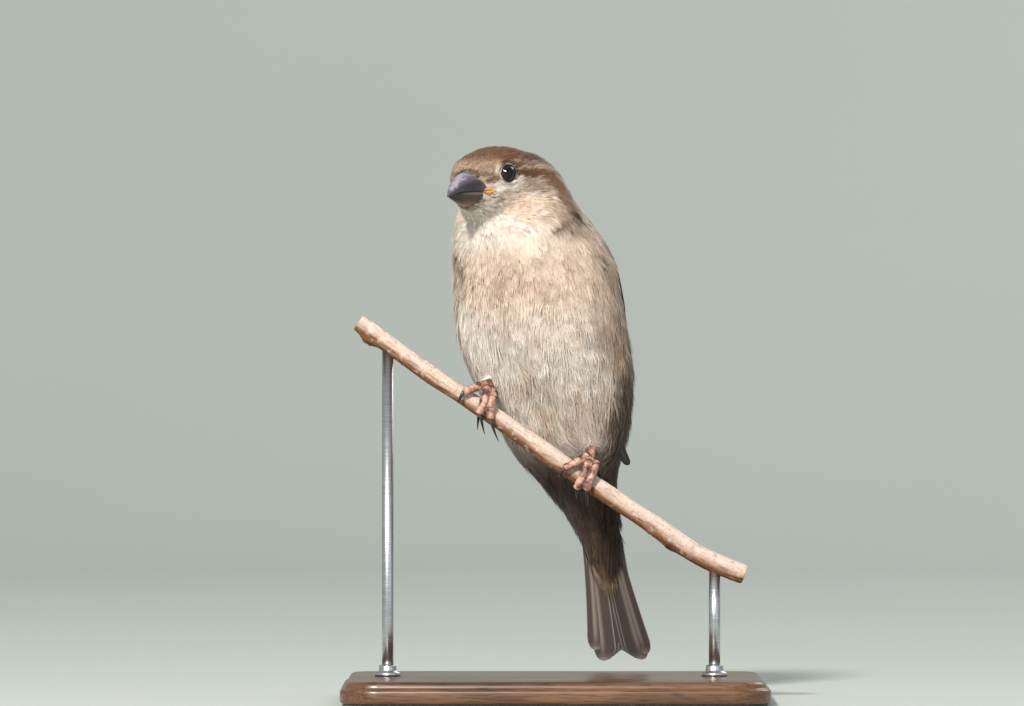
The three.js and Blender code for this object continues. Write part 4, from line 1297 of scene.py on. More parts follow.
# Lid: thin bare skin, slightly waxy, with fine folds round the opening.
lid_look, tree, shader = make_material("eyelid_skin", Roughness=0.5, Specular_IOR_Level=0.45)
tree.links.new(add_node(tree, *TINT).outputs["Color"], shader.inputs["Base Color"])
link_relief(tree, shader, grain_pattern(tree, 0.1923), 0.4, 0.06)


def round_axis(middle, axis, distance, height, angle):
    """Points round an axis, by distance from it, height along it and angle round it."""
    level = unit(np.cross(UP, axis))
    above = np.cross(axis, level)
    ring = level * np.cos(angle)[..., None] + above * np.sin(angle)[..., None]
    return middle + axis * np.asarray(height)[..., None] + ring * np.asarray(distance)[..., None]


for name, side in (("left", 1), ("right", -1)):
    middle = eye_middle(side)
    axis = unit(on_side(EYE_SEEN, side) - on_side(EYE_MIDDLE, side))
    angle = np.linspace(0, 2 * math.pi, 64, endpoint=False)[None]
    polar = np.linspace(0.02, math.pi - 0.02, 96)[:, None]
    distance, plain = EYE_RADIUS * np.sin(polar), EYE_RADIUS * np.cos(polar)
    clear = CORNEA_AHEAD - 0.6 * EYE_SINK[side] + np.sqrt(np.maximum(CORNEA_RADIUS**2 - distance**2, 0))
    clear = np.where((distance < CORNEA_RADIUS) & (plain > 0), clear, -EYE_RADIUS)
    height = 0.5 * (plain + clear) + np.sqrt(0.25 * (plain - clear) ** 2 + 0.002)
    distance, height, round_eye = np.broadcast_arrays(distance, height, angle)
    points, *faces = loft(round_axis(middle, axis, distance, height, round_eye))
    eye = make_piece(f"eyeball_{name}", points, faces, eye_look)
    off_axis = np.linalg.norm(np.cross(points - middle, axis), axis=1)
    iris = ("1f130c", ease(PUPIL_RADIUS, PUPIL_RADIUS + 0.2, off_axis))
    white = ("0d0b0b", ease(IRIS_RADIUS - 0.3, IRIS_RADIUS, off_axis))
    tint_points(eye, painted("060404", iris, white))
    angle = np.linspace(0, 2 * math.pi, LID_COLUMNS, endpoint=False)
    above_eye = ease(-0.2, 0.9, np.sin(angle))
    rings, shades = [], []
    for distance, rise, dark in LID_PROFILE:
        outer = ease(2.3, 2.7, distance)
        ahead = np.exp(-(((angle - math.pi) % (2 * math.pi) / 0.3) ** 2)) + np.exp(-((angle / 0.3) ** 2))
        corner = 1 + 0.07 * (1 - outer) * ahead
        pleat = 0.035 * outer * np.sin(angle * 23 + distance * 9) + 0.02 * outer * np.sin(angle * 41)
        reach = distance * corner
        level = np.sqrt(np.maximum(EYE_RADIUS**2 - reach**2, 0.2)) + rise + pleat
        rings.append(round_axis(middle, axis, reach, level, angle))
        broken = ease(-0.5, 0.5, np.sin(angle * 3 + 0.8) + 0.5 * np.sin(angle * 7))
        shades.append(np.clip(dark + 0.15 + (0.2 + 0.3 * outer) * broken + 0.3 * above_eye, 0, 1))
    for beyond in np.radians(CUP_DEGREES):
        reach, level = (np.full(LID_COLUMNS, ORBIT_CUP * of(beyond)) for of in (math.sin, math.cos))
        rings.append(round_axis(middle, axis, reach, level, angle))
        shades.append(np.full(LID_COLUMNS, 0.5))
    lid_faces = grid_faces(len(rings), LID_COLUMNS, True)
    flat = np.array(rings).reshape(-1, 3)
    first, second, _, fourth = (flat[lid_faces[:, k]] for k in range(4))
    if (np.cross(second - first, fourth - first) @ axis).sum() <= 0:
        lid_faces = lid_faces[:, ::-1]
    lids = make_piece(f"eyelids_{name}", flat, [lid_faces], lid_look)
    lid_colour = painted("d8c8b8", ("2b211c", np.array(shades).ravel()))
    from_axis = np.linalg.norm(np.cross(flat - middle, axis), axis=1)
    buried = np.maximum(ease(2.7, 3.0, from_axis), (flat - middle) @ axis < 1.0)
    tint_points(lids, blended(lid_colour, coat_colour(flat), buried))
    for piece, slot_name in ((eye, "eye"), (lids, "plumage")):
        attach(piece, "root")
    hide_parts(f"eye_{name}")

# ---- bill
# Two horny halves over bone, short, deep and conical for cracking seed. The upper is slate grey,
# worn along its ridge and paler there, partly as a painted highlight; the lower is dark at the tip
# and pinkish horn towards its base.
# Soft yellow skin folds join them at the corners of the mouth.

TIP_DROP = 1.25
MOUTH_GAP = 0.05
# Distance behind the tip, half width, height of the ridge or depth of the keel.
BILL_UPPER = [
    (0.1, 0.2, 0.1), (2.0, 1.4, 2.05), (4.5, 2.65, 4.15), (7.5, 3.8, 5.8), (10.4, 5.2, 6.1), (12.6, 5.8, 5.8)
]
BILL_LOWER = [(0.7, 0.4, -0.8), (3.0, 1.6, -1.6), (6.0, 2.8, -2.5), (9.5, 4.2, -3.3), (11.8, 5.0, -3.4)]
BILL_RINGS, BILL_ARCH = 90, 48

# Bill: smooth keratin, half glossy, with fine lines of growth; its tint carries dry worn flecks and a
# painted highlight on the ridge.
horn_look, tree, shader = make_material("bill_keratin", Roughness=0.36, Coat_Weight=0.25, Coat_Roughness=0.25)
fibre = grain_pattern(tree, 0.6667, 5.0, 0.65)
horn_tones = [(0.32, "c4bcbc"), (0.55, "ffffff")]
link_tones(tree, shader, fibre, horn_tones, "tint", 0.6)
link_relief(tree, shader, fibre, 0.25, 0.08)
horn_rough = add_node(tree, "ShaderNodeMapRange", values={3: 0.28, 4: 0.5}, links={0: fibre})
tree.links.new(horn_rough.outputs[0], shader.inputs["Roughness"])


def bill_edge(back):
    """Height of the closed mouth's line, which turns down at the tip."""
    return 0.45 + back * 0.058 - TIP_DROP * np.clip(1 - back / 4.2, 0, 1) ** 1.6


def bill_half(rows):
    """Rings of half a bill: an arch on the cutting edge, and the arch's place for each point."""
    way = np.sign(rows[-1][2])
    back = np.linspace(rows[0][0], rows[-1][0], BILL_RINGS)[:, None]
    side, ridge = lookup(dense(rows), back)
    edge = bill_edge(back) + way * MOUTH_GAP
    rise = np.maximum(np.abs(ridge - edge), 0.12)
    angle = np.linspace(0, math.pi, BILL_ARCH + 1)[None]
    up = edge + way * rise * np.sin(angle)
    full = np.sign(np.cos(angle)) * np.abs(np.cos(angle)) ** 1.06
    out = side * full * (1 + 0.03 * np.sin(angle) * np.sin(2 * angle) ** 2)
    return head_point(back, out, up), np.sin(angle) * np.ones_like(back), back * np.ones_like(angle)


for name, rows in (("upper", BILL_UPPER), ("lower", BILL_LOWER)):
    rings, arch, back = bill_half(rows)
    points, *faces = loft(rings)
    half = make_piece(f"bill_{name}_horn", points, faces, horn_look)
    arch = np.concatenate([arch.ravel(), [0.5, 0.5]])
    back = np.concatenate([back.ravel(), [rows[0][0], rows[-1][0]]])
    wear_and_highlight_noise = smooth_noise(points, 1.1, 17.0)
    upper_horn = painted(
        "58525a",
        ("292427", ease(0.85, 0.35, arch)),
        # worn flecks and a painted highlight along the ridge
        ("a9a1af", ease(0.6, 1.1, arch + 0.3 * wear_and_highlight_noise) * ease(10.5, 5.0, back) * 0.8),
        ("6b5f5a", ease(8.5, 11.5, back) * 0.5),
        ("322c30", ease(1.6, 0.3, back) * 0.8),
    )
    lower_horn = painted(
        "33271f",
        ("6a4835", ease(4.0, 8.0, back) * ease(0.45, 0.9, arch + 0.15 * wear_and_highlight_noise)),
        ("1a1617", ease(6.0, 2.5, back) * 0.9),
        ("8d776c", ease(0.3, 0.12, arch) * ease(3, 6, back) * 0.5),
    )
    tint_points(half, upper_horn if name == "upper" else lower_horn)
    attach(half, "root")
    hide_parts(f"bill_{name}")

# Short feathers at the bill's root lie forwards over the horn: half, how far back their tips reach at
# the ridge and at the cutting edge, rows.
BILL_FRINGE = (("upper", BILL_UPPER, 7.2, 10.7, 5), ("lower", BILL_LOWER, 8.6, 10.4, 4))
FRINGE_LENGTH, FRINGE_COUNT, FRINGE_BARBS = 2.3, 46, 9


def over_bill(rows, back, angle, off):
    """Point over half a bill at a distance back and an angle from its left cutting edge."""
    way = np.sign(rows[-1][2])
    side, ridge = lookup(dense(rows), back)
    edge = bill_edge(back)
    rise = np.abs(ridge - edge) + off
    return head_point(back, (side + off) * np.cos(angle), edge + way * rise * np.sin(angle))


for name, rows, at_ridge, at_edge, row_count in BILL_FRINGE:
    round_bill = np.linspace(0.12, math.pi - 0.12, FRINGE_COUNT)
    row, angle = np.meshgrid(np.arange(row_count), round_bill, indexing="ij")
    row = row.ravel() + rng.uniform(-0.3, 0.3, row.size)
    angle = angle.ravel() + rng.normal(0, 0.04, angle.size)
    front_tip = at_ridge + (at_edge - at_ridge) * np.cos(angle) ** 4
    front_tip = front_tip + 0.75 * row + rng.normal(0, 0.15, row.size)
    t = np.linspace(1, 0, FEATHER_STEPS + 1)[None]
    back = front_tip[:, None] + FRINGE_LENGTH * t
    lie = over_bill(rows, back, angle[:, None], 0.06 + 0 * t)
    rising = unit(over_bill(rows, back, angle[:, None], 0.6 + 0 * t) - lie)
    fringe = {
        "half_width": np.full(len(row), 0.42), "barb": np.full(len(row), 0.05), "low": 0.05 + 0.1 * row,
        "high": 0.12 + 0.22 * np.maximum(row, 0), "ragged": np.full(len(row), 0.6),
        "lift": np.zeros(len(row)),
    }
    points, position, lane = barbs(lie, rising, fringe, FRINGE_BARBS, 3)
    none = np.zeros(len(row))
    colours = barb_colours(lie, rising, none + 0.2, position, lane, none + 0.1, none)
    faces = barb_faces(len(row) * FRINGE_BARBS, 3)
    piece = make_piece(f"bill_fringe_{name}", points.reshape(-1, 3), faces, barb_look)
    tint_points(piece, colours)
    set_map(piece, coat_map(lie, position, lane))
    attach(piece, "root")

# Soft skin at the corner of the mouth: back, out, up, radius, from the bill to the cheek.
GAPE = [
    (10.0, 4.8, 1.05, 0.4), (10.7, 5.5, 1.05, 0.75), (11.4, 6.0, 1.1, 0.72), (12.0, 6.5, 1.15, 0.4),
    (12.5, 6.9, 1.2, 0.12),
]
for name, side in (("left", 1), ("right", -1)):
    lips = []
    for way in (1, -1):
        line = centripetal([(b, side * o, u + way * 0.55 * r, r) for b, o, u, r in GAPE], 40)
        on, outward = on_skin(head_point(line[:, 0], line[:, 1], line[:, 2]))
        lips.append(loft(tube(on + outward * 0.12, line[:, 3] * 0.72, 20, flat=0.9)))
    points, *faces = joined(lips)
    fold = make_piece(f"gape_fold_{name}", points, faces, lid_look)
    back, _, _ = head_place(points)
    colour = painted(
        "8d6a52",
        ("c99140", ease(10.1, 10.8, back)),
        ("e8c48a", ease(11.2, 12.6, back)),
        ("c4761f", ease(0.1, 0.6, smooth_noise(points, 0.8, 6.0)) * 0.6),
    )
    tint_points(fold, colour)
    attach(fold, "root")

# ---- claws
# Curved horny claws, one to a toe, slate black and half glossy, flattened at the sides.

CLAW_LENGTH, CLAW_CURL = 5.2, 0.07
INNER_CLAW_TURN = 72.0  # degrees round the perch that an inner claw reaches past its toe
CLAW_ROOT, CLAW_TIP = 0.7, 0.07

# Claw: dense keratin with faint streaks, black at the tip.
claw_look, tree, shader = make_material("claw_keratin", Roughness=0.32, Coat_Weight=0.2, Coat_Roughness=0.2)
streaks = grain_pattern(tree, 0.4, 3.0)
streak_tones = [(0.0, "000000"), (1.0, "ffffff")]
link_tones(tree, shader, streaks, streak_tones, "tint", 0.45)


def claw_line(toe, knots):
    """Middle line of a claw, which goes on from the end of its toe and hooks in towards the branch."""
    tip, before = knots[-1], knots[-2]
    way = unit(tip - before)
    share = branch_share(tip)
    inward = along_branch(branch_middle, np.array(share)) - tip
    inward = unit(inward - inward @ way * way)
    slide = (toe[4] - toe[3]) / CLAW_LENGTH
    t = np.linspace(0, CLAW_LENGTH, 24)[:, None]
    sideways = along_branch(branch_along, np.array(share)) * slide
    return tip + way * (t - 0.25) + inward * CLAW_CURL * t**2 + sideways * t


def hugging_claw(leg, toe):
    """Middle line of an inner claw, which bends on round the perch close to its bark."""
    t = np.linspace(-0.04, 1, 24)
    u = branch_share(np.array(leg["at"])) + (toe[3] + (toe[4] - toe[3]) * t) / BRANCH_LENGTH
    start = branch_radius(u) * TOE_CLEAR + TOE_RADIUS * 1.05 + GAP
    run = np.clip(t, 0, 1)
    distance = start - (start - branch_radius(u) - 0.15) * run**1.6 + 0.5 * np.sin(math.pi * run)
    return branch_surface(u, toe[1] + INNER_CLAW_TURN * t, distance)


for side, leg in LEGS.items():
    for toe_name, toe in leg["toes"].items():
        line = hugging_claw(leg, toe) if toe_name == "inner" else claw_line(toe, toe_knots(leg, toe))
        t = np.linspace(0, 1, len(line))
        radii = CLAW_TIP + (CLAW_ROOT - CLAW_TIP) * (1 - t) ** 0.85
        bend_side = unit(np.cross(line[1] - line[0], line[-1] - line[0]))
        points, *faces = loft(tube(line, radii, 16, flat=0.74, up=bend_side))
        claw = make_piece(f"claw_{side}_{toe_name}_horn", points, faces, claw_look)
        share = np.concatenate([np.repeat(t, 16), [0, 1]])
        dark_end = ("2a2423", ease(0.0, 0.3, share))
        tint_points(claw, painted("6b5548", dark_end, ("4a3f3b", ease(0.75, 1.0, share) * 0.5)))
        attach(claw, "root")
        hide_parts(f"claw_{side}_{toe_name}")

# ---- scutes
# Small horny plates in one row over the top of each toe and down the front of each shank, each
# overlapping the next like a roof tile. Flesh pink, blotched brown.

SCUTE_SPACING = 0.95
SCUTE_LENGTH = 1.12
SCUTE_WRAP = 215.0  # degrees round the toe
SCUTE_FLARE = 0.1

# Scute: thin horn over pink skin, smooth and half matt, blotched brown.
scute_look, tree, shader = make_material("toe_scutes", Roughness=0.48, Coat_Weight=0.12, Coat_Roughness=0.35)
blotches = grain_pattern(tree, 2.381, 4.0)
link_tones(tree, shader, blotches, [(0.36, "4a2f27"), (0.48, "966a5a"), (0.62, "cfa693")])
link_relief(tree, shader, grain_pattern(tree, 0.2381), 0.3, 0.06)

# One curved plate on every point: wrapped round the toe's own direction, flared at its lower edge.
plates = bpy.data.node_groups.new("scute_plates", "GeometryNodeTree")
plates.is_modifier = True
GIVEN = {"Geometry": "Geometry", "Plate length": "Float", "Plate wrap": "Float", "Plate flare": "Float"}
for socket_name, kind in {**GIVEN, "Finish": "Material"}.items():
    plates.interface.new_socket(socket_name, in_out="INPUT", socket_type=f"NodeSocket{kind}")
plates.interface.new_socket("Geometry", in_out="OUTPUT", socket_type="NodeSocketGeometry")
given = add_node(plates, "NodeGroupInput")
flat_plate = {"Size X": 1.0, "Size Y": 1.0, "Vertices X": 9, "Vertices Y": 4}
plate = add_node(plates, "GeometryNodeMeshGrid", values=flat_plate)
spot = add_node(plates, "GeometryNodeInputPosition")
split = add_node(plates, "ShaderNodeSeparateXYZ", links={0: spot.outputs[0]})
SUMS = (  # name, sum, constant, what goes in
    ("wrap", "MULTIPLY", {}, "across", "Plate wrap"),
    ("flare", "MULTIPLY_ADD", {2: 1.07}, "along", "Plate flare"),
    ("sine", "SINE", {}, "wrap"),
    ("cosine", "COSINE", {}, "wrap"),
    ("sideways", "MULTIPLY", {}, "sine", "flare"),
    ("outwards", "MULTIPLY", {}, "cosine", "flare"),
    ("lengthways", "MULTIPLY", {}, "along", "Plate length"),
)
result = {"across": split.outputs[0], "along": split.outputs[1]}
result.update({name: given.outputs[name] for name in ("Plate wrap", "Plate flare", "Plate length")})
for name, operation, constant, *terms in SUMS:
    into = {place: result[term] for place, term in enumerate(terms)}
    result[name] = add_node(plates, "ShaderNodeMath", {"operation": operation}, constant, into).outputs[0]
curved_place = {0: result["sideways"], 1: result["lengthways"], 2: result["outwards"]}
curved = add_node(plates, "ShaderNodeCombineXYZ", links=curved_place)
at_curve = {"Geometry": plate.outputs["Mesh"], "Position": curved.outputs[0]}
bent = add_node(plates, "GeometryNodeSetPosition", links=at_curve)
turn = add_node(plates, "GeometryNodeInputNamedAttribute", {"data_type": "FLOAT_VECTOR"}, {"Name": "turn"})
size = add_node(plates, "GeometryNodeInputNamedAttribute", {"data_type": "FLOAT"}, {"Name": "size"})
turned_to = add_node(plates, "FunctionNodeEulerToRotation", links={0: turn.outputs["Attribute"]})
on_points = {"Points": given.outputs["Geometry"], "Instance": bent.outputs[0]}
on_points.update({"Rotation": turned_to.outputs[0], "Scale": size.outputs["Attribute"]})
placed = add_node(plates, "GeometryNodeInstanceOnPoints", links=on_points)
real = add_node(plates, "GeometryNodeRealizeInstances", links={"Geometry": placed.outputs[0]})
soft = add_node(plates, "GeometryNodeSetShadeSmooth", links={0: real.outputs[0]})
finish = {"Geometry": soft.outputs[0], "Material": given.outputs["Finish"]}
coated = add_node(plates, "GeometryNodeSetMaterial", links=finish)
add_node(plates, "NodeGroupOutput", links={0: coated.outputs[0]})


def scute_points(line, radii, over):
    """Middle, turn and size of the plates along a line, given the outer direction at each point."""
    run = np.concatenate([[0], np.cumsum(np.linalg.norm(np.diff(line, axis=0), axis=1))])
    tangent = unit(np.gradient(line, axis=0))
    made = []
    for at in np.arange(0.5, run[-1] - 0.2, SCUTE_SPACING):
        middle, along, outer = (
            np.array([np.interp(at, run, values[:, k]) for k in range(3)]) for values in (line, tangent, over)
        )
        along = unit(along)
        outer = unit(outer - outer @ along * along)
        side = np.cross(along, outer)
        made.append((middle, np.stack([side, along, outer], 1), np.interp(at, run, radii)))
    return made


for side, leg in LEGS.items():
    found = []
    for toe in leg["toes"].values():
        line = toe_line(leg, toe)
        shares = np.array([branch_share(p) for p in line])
        over = unit(line - along_branch(branch_middle, shares))
        found += scute_points(line, toe_radii(len(line)), over)
    at, hock = np.array(leg["at"]), np.array(leg["hock"])
    shank = hock + (at - hock) * np.linspace(0.1, 0.98, 20)[:, None]
    found += scute_points(shank, np.full(20, 1.1), np.broadcast_to(BRANCH_FRONT, shank.shape))
    middles = np.array([f[0] for f in found])
    turns = np.array([tuple(Matrix(f[1].tolist()).to_euler()) for f in found])
    sizes = np.array([f[2] for f in found]) * MM
    plates_mesh = bpy.data.meshes.new(f"scutes_{side}")
    plates_mesh.from_pydata((middles * MM).tolist(), [], [])
    plates_mesh.attributes.new("turn", "FLOAT_VECTOR", "POINT").data.foreach_set("vector", turns.ravel())
    plates_mesh.attributes.new("size", "FLOAT", "POINT").data.foreach_set("value", sizes)
    scutes = bpy.data.objects.new(f"scutes_{side}", plates_mesh)
    scene.collection.objects.link(scutes)
    modifier = scutes.modifiers.new("plates", "NODES")
    modifier.node_group = plates
    inputs = {"Plate length": SCUTE_LENGTH, "Plate wrap": math.radians(SCUTE_WRAP)}
    inputs.update({"Plate flare": SCUTE_FLARE, "Finish": scute_look})
    for item in plates.interface.items_tree:
        if item.in_out == "INPUT" and item.name in inputs:
            modifier[item.identifier] = inputs[item.name]
    scutes.data = evaluated_mesh(scutes)
    scutes.modifiers.clear()
    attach(scutes, "root")

# ---- wings
# Folded wings: stiff flight feathers stacked under rows of coverts. Each feather is a firm vane on a
# shaft, dark brown with a buff edge; the middle coverts end white and make a bar at the shoulder.

VANE_COLUMNS = (-1.0, -0.88, -0.62, -0.3, -0.05, 0.05, 0.3, 0.62, 0.88, 1.0)
VANE_ROWS = 20
VANE_STATIONS = 1 - (1 - np.linspace(0, 1, VANE_ROWS)) ** 1.6  # closer together towards the tip
ACROSS_VANE, ALONG_VANE = np.array(VANE_COLUMNS)[None], VANE_STATIONS[:, None]
ON_SHAFT = np.abs(ACROSS_VANE) < 0.06
VANE_THICKNESS = 0.12
MM_PER_DEGREE = 0.36  # round the trunk at the wing
# One feather of the left wing stands off behind the flank, painted near black as painted shade over
# its dark brown: both ends of its shaft, half width.
LOOSE_ROOT, LOOSE_TIP, LOOSE_HALF = np.array([12.2, 9.0, 80.0]), np.array([19.2, 9.5, 61.9]), 1.25
SHAFT_RAISE = 0.1
# Rows of the wing, deepest first: count, first and last place across the wing (0 at its front edge),
# height where the shafts start and where the tips end at both places, half width, lift, colours
# of middle, edge and tip, width of the edge as a share of the vane.
WING_ROWS = {
    "primaries": (8, (0.10, 0.44), (98, 96), (44.5, 57.0), 3.4, (0.1, 0.9),
        "4d3d31", "a58c6f", "7d6a57", 0.16),
    "secondaries": (6, (0.42, 0.66), (100, 98), (60.0, 66.0), 3.9, (0.9, 1.3),
        "503f31", "b2875a", "9b7d5c", 0.22),
    "tertials": (3, (0.70, 0.86), (102, 102), (66.5, 76.0), 5.0, (1.3, 1.6),
        "46362b", "bd976a", "b89a75", 0.26),
    "alula": (3, (0.03, 0.12), (112, 108), (88.0, 94.0), 2.6, (0.8, 1.0),
        "4b3b30", "9b8266", "8c7660", 0.2),
    "great_coverts": (8, (0.06, 0.92), (112, 108), (89.5, 92.5), 3.1, (1.3, 1.6),
        "513e2f", "b38b5e", "c9a97f", 0.3),
    "middle_coverts": (7, (0.06, 0.88), (117, 114), (100.5, 101.5), 2.7, (1.6, 1.8),
        "44352b", "b9976f", "ead9bf", 0.3),
    "lesser_coverts_low": (8, (0.08, 0.90), (119, 117), (107.5, 108.0), 2.5, (1.8, 2.0),
        "5e4835", "9a7752", "a8855e", 0.34),
    "lesser_coverts": (7, (0.12, 0.86), (121, 120), (112.5, 112.5), 2.3, (1.9, 2.1),
        "6a523d", "957555", "a08261", 0.36),
    "lesser_coverts_top": (6, (0.15, 0.80), (123, 122), (116.5, 116.5), 2.1, (1.9, 2.0),
        "6f5742", "94785b", "9c8365", 0.36),
}

# Flight feathers: close barbs zipped into a firm vane with a silky gloss along the barbs.
vane_look, tree, shader = make_material(
    "firm_vanes", Roughness=0.55, Specular_IOR_Level=0.35, Sheen_Weight=0.12
)
vane_map = add_node(tree, "ShaderNodeUVMap", {"uv_map": "vane"})
barb_lines = add_node(
    tree,
    "ShaderNodeTexWave",
    {"wave_type": "BANDS", "bands_direction": "DIAGONAL"},
    {"Scale": 0.9, "Distortion": 1.2, "Detail": 2.0, "Detail Scale": 1.5},
    {"Vector": vane_map.outputs[0]},
).outputs[0]
vane_tones = [(0.0, "d2ccc6"), (0.6, "ffffff")]
link_tones(tree, shader, barb_lines, vane_tones, "tint", 0.6)
link_relief(tree, shader, barb_lines, 0.35, 0.08)


def vane_outline(half, length):
    """Half width of a vane along its length as a share of its widest, with a round tip."""
    tip = np.clip((1 - ALONG_VANE) * length / (1.3 * half), 0, 1)
    root = 0.25 + 0.75 * ease(0, 0.3, ALONG_VANE)
    return root * np.sqrt(np.maximum(1 - (1 - tip) ** 2, 0)) * (0.85 + 0.15 * ALONG_VANE)


def vane_colours(feather, number):
    """Colour at each point of a vane: its middle, its paler edge and tip, and its shaft."""
    share, tip_share = feather["edge_share"], feather["tip_share"]
    edge = ease(1 - share * 1.6, 1 - share * 0.5, np.abs(ACROSS_VANE))
    rough = 0.12 * np.sin(ALONG_VANE * 40 + number) * (edge > 0.1)
    colour = painted(
        np.broadcast_to(rgb(feather["middle"]), (VANE_ROWS, len(VANE_COLUMNS), 3)),
        (feather["edge"], np.clip(edge + rough, 0, 1) * ease(0, 0.2, ALONG_VANE)),
        (feather["tip"], ease(1 - tip_share, 1.0, ALONG_VANE) + 0 * ACROSS_VANE),
        (feather["shaft"], ON_SHAFT * ease(1.0, 0.85, ALONG_VANE) * 0.8),
    )
    return colour.reshape(-1, 3) * feather["shade"]


def vane_piece(name, feathers):
    """One piece of stacked vanes. Each feather is a dict of its points, outward side and colours."""
    columns, rows = len(VANE_COLUMNS), VANE_ROWS
    cells = math.ceil(math.sqrt(len(feathers)))
    thick = VANE_THICKNESS * (1 - 0.6 * np.abs(ACROSS_VANE))[..., None]
    upper = grid_faces(rows, columns)
    lower = upper[:, ::-1] + rows * columns
    last_column, last_row = columns * np.arange(1, rows) + columns - 1, (rows - 1) * columns
    back_along = np.arange(columns - 2, -1, -1)
    rim = [np.arange(columns), last_column, last_row + back_along, columns * np.arange(rows - 2, 0, -1)]
    rim = np.concatenate(rim)
    after = np.roll(rim, -1)
    wall = np.stack([after, rim, rim + rows * columns, after + rows * columns], 1)
    sheet = np.concatenate([upper, lower, wall])
    local = np.stack(np.broadcast_arrays(ACROSS_VANE * 0.42, (ALONG_VANE - 0.5) * 0.9), -1).reshape(-1, 2)
    points, faces, colours, atlas, vane = [], [], [], [], []
    for k, feather in enumerate(feathers):
        top = feather["points"]
        points += [top.reshape(-1, 3), (top - feather["outward"] * thick).reshape(-1, 3)]
        faces.append(sheet + 2 * rows * columns * k)
        colour = vane_colours(feather, k)
        colours += [colour, colour * 0.95]
        cell = np.array([k % cells, k // cells]) + 0.5
        atlas += [(cell + local) / cells] * 2
        sizes = np.broadcast_arrays(np.abs(ACROSS_VANE) * feather["half"], ALONG_VANE * feather["length"])
        vane += [np.stack(sizes, -1).reshape(-1, 2)] * 2
    piece = make_piece(name, np.concatenate(points), [np.concatenate(faces)], vane_look)
    tint_points(piece, np.concatenate(colours))
    set_map(piece, np.concatenate(atlas))
    set_map(piece, np.concatenate(vane), "vane")
    piece.data.uv_layers.active = piece.data.uv_layers["OFBake"]
    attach(piece, "root")
    return piece


def curved_vane(surface, root, tip, half, lifts, camber):
    """Grid of a vane laid on surface(height, degrees, lift) from a root to a tip of height and degrees."""
    height, degrees = (np.interp(ALONG_VANE, [0, 1], ends) for ends in zip(root, tip))
    width = half * vane_outline(half, abs(root[0] - tip[0])) * ACROSS_VANE
    local = surface(height, degrees, 0.0) - surface(height, degrees + 1.0, 0.0)
    per_degree = np.linalg.norm(local, axis=-1)
    lift = lifts[0] + (lifts[1] - lifts[0]) * ALONG_VANE + camber * (1 - ACROSS_VANE**2) * half
    lift = lift + SHAFT_RAISE * ON_SHAFT * (1 - 0.6 * ALONG_VANE)
    return surface(height, degrees + width / per_degree, lift)


def facing(points, towards):
    """Outward direction at each point of a vane's grid, on the side that faces a direction."""
    outward = unit(np.cross(np.gradient(points, axis=1), np.gradient(points, axis=0)))
    return outward * np.sign((outward @ towards).mean())


def over_flank(side):
    """Surface of one side of the trunk, straight down below its last row."""

    def surface(height, degrees, lift):
        height, degrees, lift = np.broadcast_arrays(height, degrees, lift)
        low = np.clip(height, 36.5, 143)
        return body_surface(low, side * np.radians(degrees), lift) + UP * (height - low)[..., None]

    return surface


def beside_flank(height, across, lift):
    """Surface that the loose feather lies on: across is millimetres towards the left."""
    share = (LOOSE_ROOT[2] - height) / (LOOSE_ROOT[2] - LOOSE_TIP[2])
    line = LOOSE_ROOT + (LOOSE_TIP - LOOSE_ROOT) * share[..., None]
    return line + across[..., None] * np.array([1.0, 0, 0]) + BRANCH_FRONT * np.asarray(lift)[..., None]


def between(pair, share):
    """Value at a share of the way from the first to the second of a pair."""
    return pair[0] + (pair[1] - pair[0]) * share


for name, side in (("left", 1), ("right", -1)):
    flank = over_flank(side)
    for row_name, (count, places, starts, ends, half, lifts, middle, edge, tip, share) in WING_ROWS.items():
        colours = dict(middle=middle, edge=edge, tip=tip, shaft="2b211b", edge_share=share)
        colours["tip_share"] = 0.3 if row_name == "middle_coverts" else 0.12
        feathers = []
        for k in range(count):
            w = k / max(count - 1, 1)
            start = between(starts, w)
            end = between(ends, w ** (1.4 if row_name == "primaries" else 1.0))
            place, lift_at = [], []
            for height in (start, end):
                front, back, lift = lookup(WING_CURVE, np.clip(height, WING[-1][0], WING[0][0]))
                inset = half / MM_PER_DEGREE
                place.append(front + inset + (back - front - 1.6 * inset) * between(places, w))
                lift_at.append(lift + between(lifts, w) * 0.5)
            jitter = rng.normal(0, 0.4)
            root, tip_at = (start, place[0]), (end + jitter, place[1] + jitter)
            grid = curved_vane(flank, root, tip_at, half, lift_at, 0.1)
            shade = math.exp(rng.normal(0, 0.05))
            sizes = dict(half=half, length=abs(start - end), shade=shade)
            feathers.append(dict(colours, points=grid, outward=facing(grid, side * TRUNK_LEFT), **sizes))
        if side > 0 and row_name == "secondaries":
            root, tip_at = (LOOSE_ROOT[2], 0.0), (LOOSE_TIP[2], 0.0)
            grid = curved_vane(beside_flank, root, tip_at, LOOSE_HALF, (0, 0), 0.3)
            # near black: painted shade over the feather's own dark brown
            dark = dict(middle="120e0c", edge="1d1714", tip="100c0a", half=LOOSE_HALF, length=18)
            feathers.append(dict(feathers[0], points=grid, outward=facing(grid, BRANCH_FRONT), **dark))
        piece = vane_piece(f"wing_{name}_{row_name}", feathers)
        if row_name == "primaries":
            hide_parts(f"wing_{name}")

# ---- tail
# Twelve stiff tail feathers on one short fan, the outer ones lowest, notched at the middle. Grey
# brown, paler underneath, with thin pale edges and strong shafts; the feathers on the bird's left
# carry painted shade.

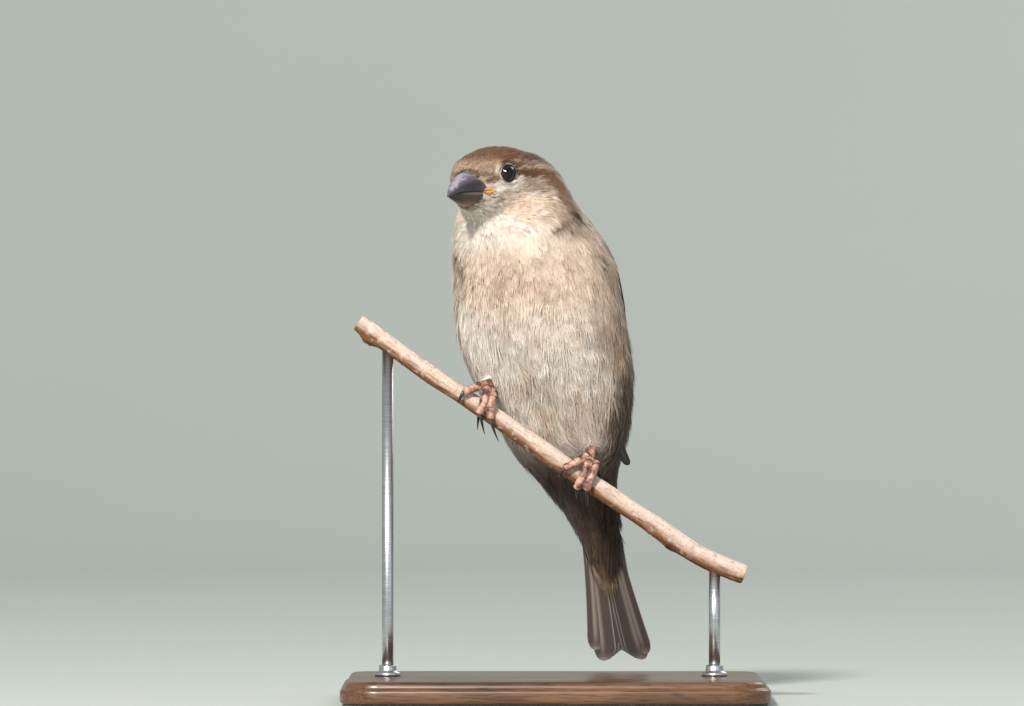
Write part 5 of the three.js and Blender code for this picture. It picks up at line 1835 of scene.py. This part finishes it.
TAIL_FEATHERS = 12
TAIL_ROOT_HALF, TAIL_TIP_HALF, TAIL_FORK = 3.2, 9.2, 4.2
TAIL_LAYER = 0.605  # how much lower the outermost feathers lie than the middle ones
TAIL_LENGTH = float(np.linalg.norm(TAIL_TIP - TAIL_BASE))
TAIL_COLOURS = dict(
    middle="4a413d", edge="9f958e", tip="948b84", shaft="8d837b", edge_share=0.07, tip_share=0.04
)
left_way = np.sign(tail_across[0])

feathers = []
for k in range(TAIL_FEATHERS):
    place = (k / (TAIL_FEATHERS - 1)) * 2 - 1
    outer = abs(place)
    slipped = place * left_way < -0.95  # the right outermost feather
    reach = TAIL_LENGTH - TAIL_FORK * (1 - outer) ** 1.15 - 2.2 * max(outer - 0.82, 0) / 0.18
    reach = reach - 0.3 - 1.6 * slipped
    half = 3.3 + 0.2 * (1 - outer)
    fan = place * (TAIL_ROOT_HALF + (TAIL_TIP_HALF - half * 0.72 - TAIL_ROOT_HALF) * ALONG_VANE**1.1)
    curve = np.sin(math.pi * ALONG_VANE) * place * -0.5 + 0.35 * slipped * place * ALONG_VANE**3
    uneven = 1.0 - 0.28 * place * np.sign(ACROSS_VANE)
    width = half * vane_outline(half, reach) * (0.66 + 0.34 * ALONG_VANE) * ACROSS_VANE * uneven
    away = TAIL_LAYER * outer + 0.14 * (1 - ACROSS_VANE**2) - 0.15 + 0.06 * np.sin(k * 2.1)
    away = away + 0.13 * ON_SHAFT * (1 - 0.7 * ALONG_VANE)
    down = reach * ALONG_VANE + 0 * ACROSS_VANE
    grid = TAIL_BASE + tail_across * (fan + curve + width)[..., None] + down_tail * down[..., None]
    grid = grid + underside * away[..., None]
    # The last factor darkens the feathers on the bird's left: painted shade
    shade = math.exp(rng.normal(0, 0.08)) * (0.8 + 0.25 * outer**2) * (1 - 0.2 * place * left_way)
    outward = np.broadcast_to(underside, grid.shape)
    feathers.append(dict(TAIL_COLOURS, points=grid, outward=outward, half=half, length=reach, shade=shade))
tail = vane_piece("tail_feathers", feathers)
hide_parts("tail")
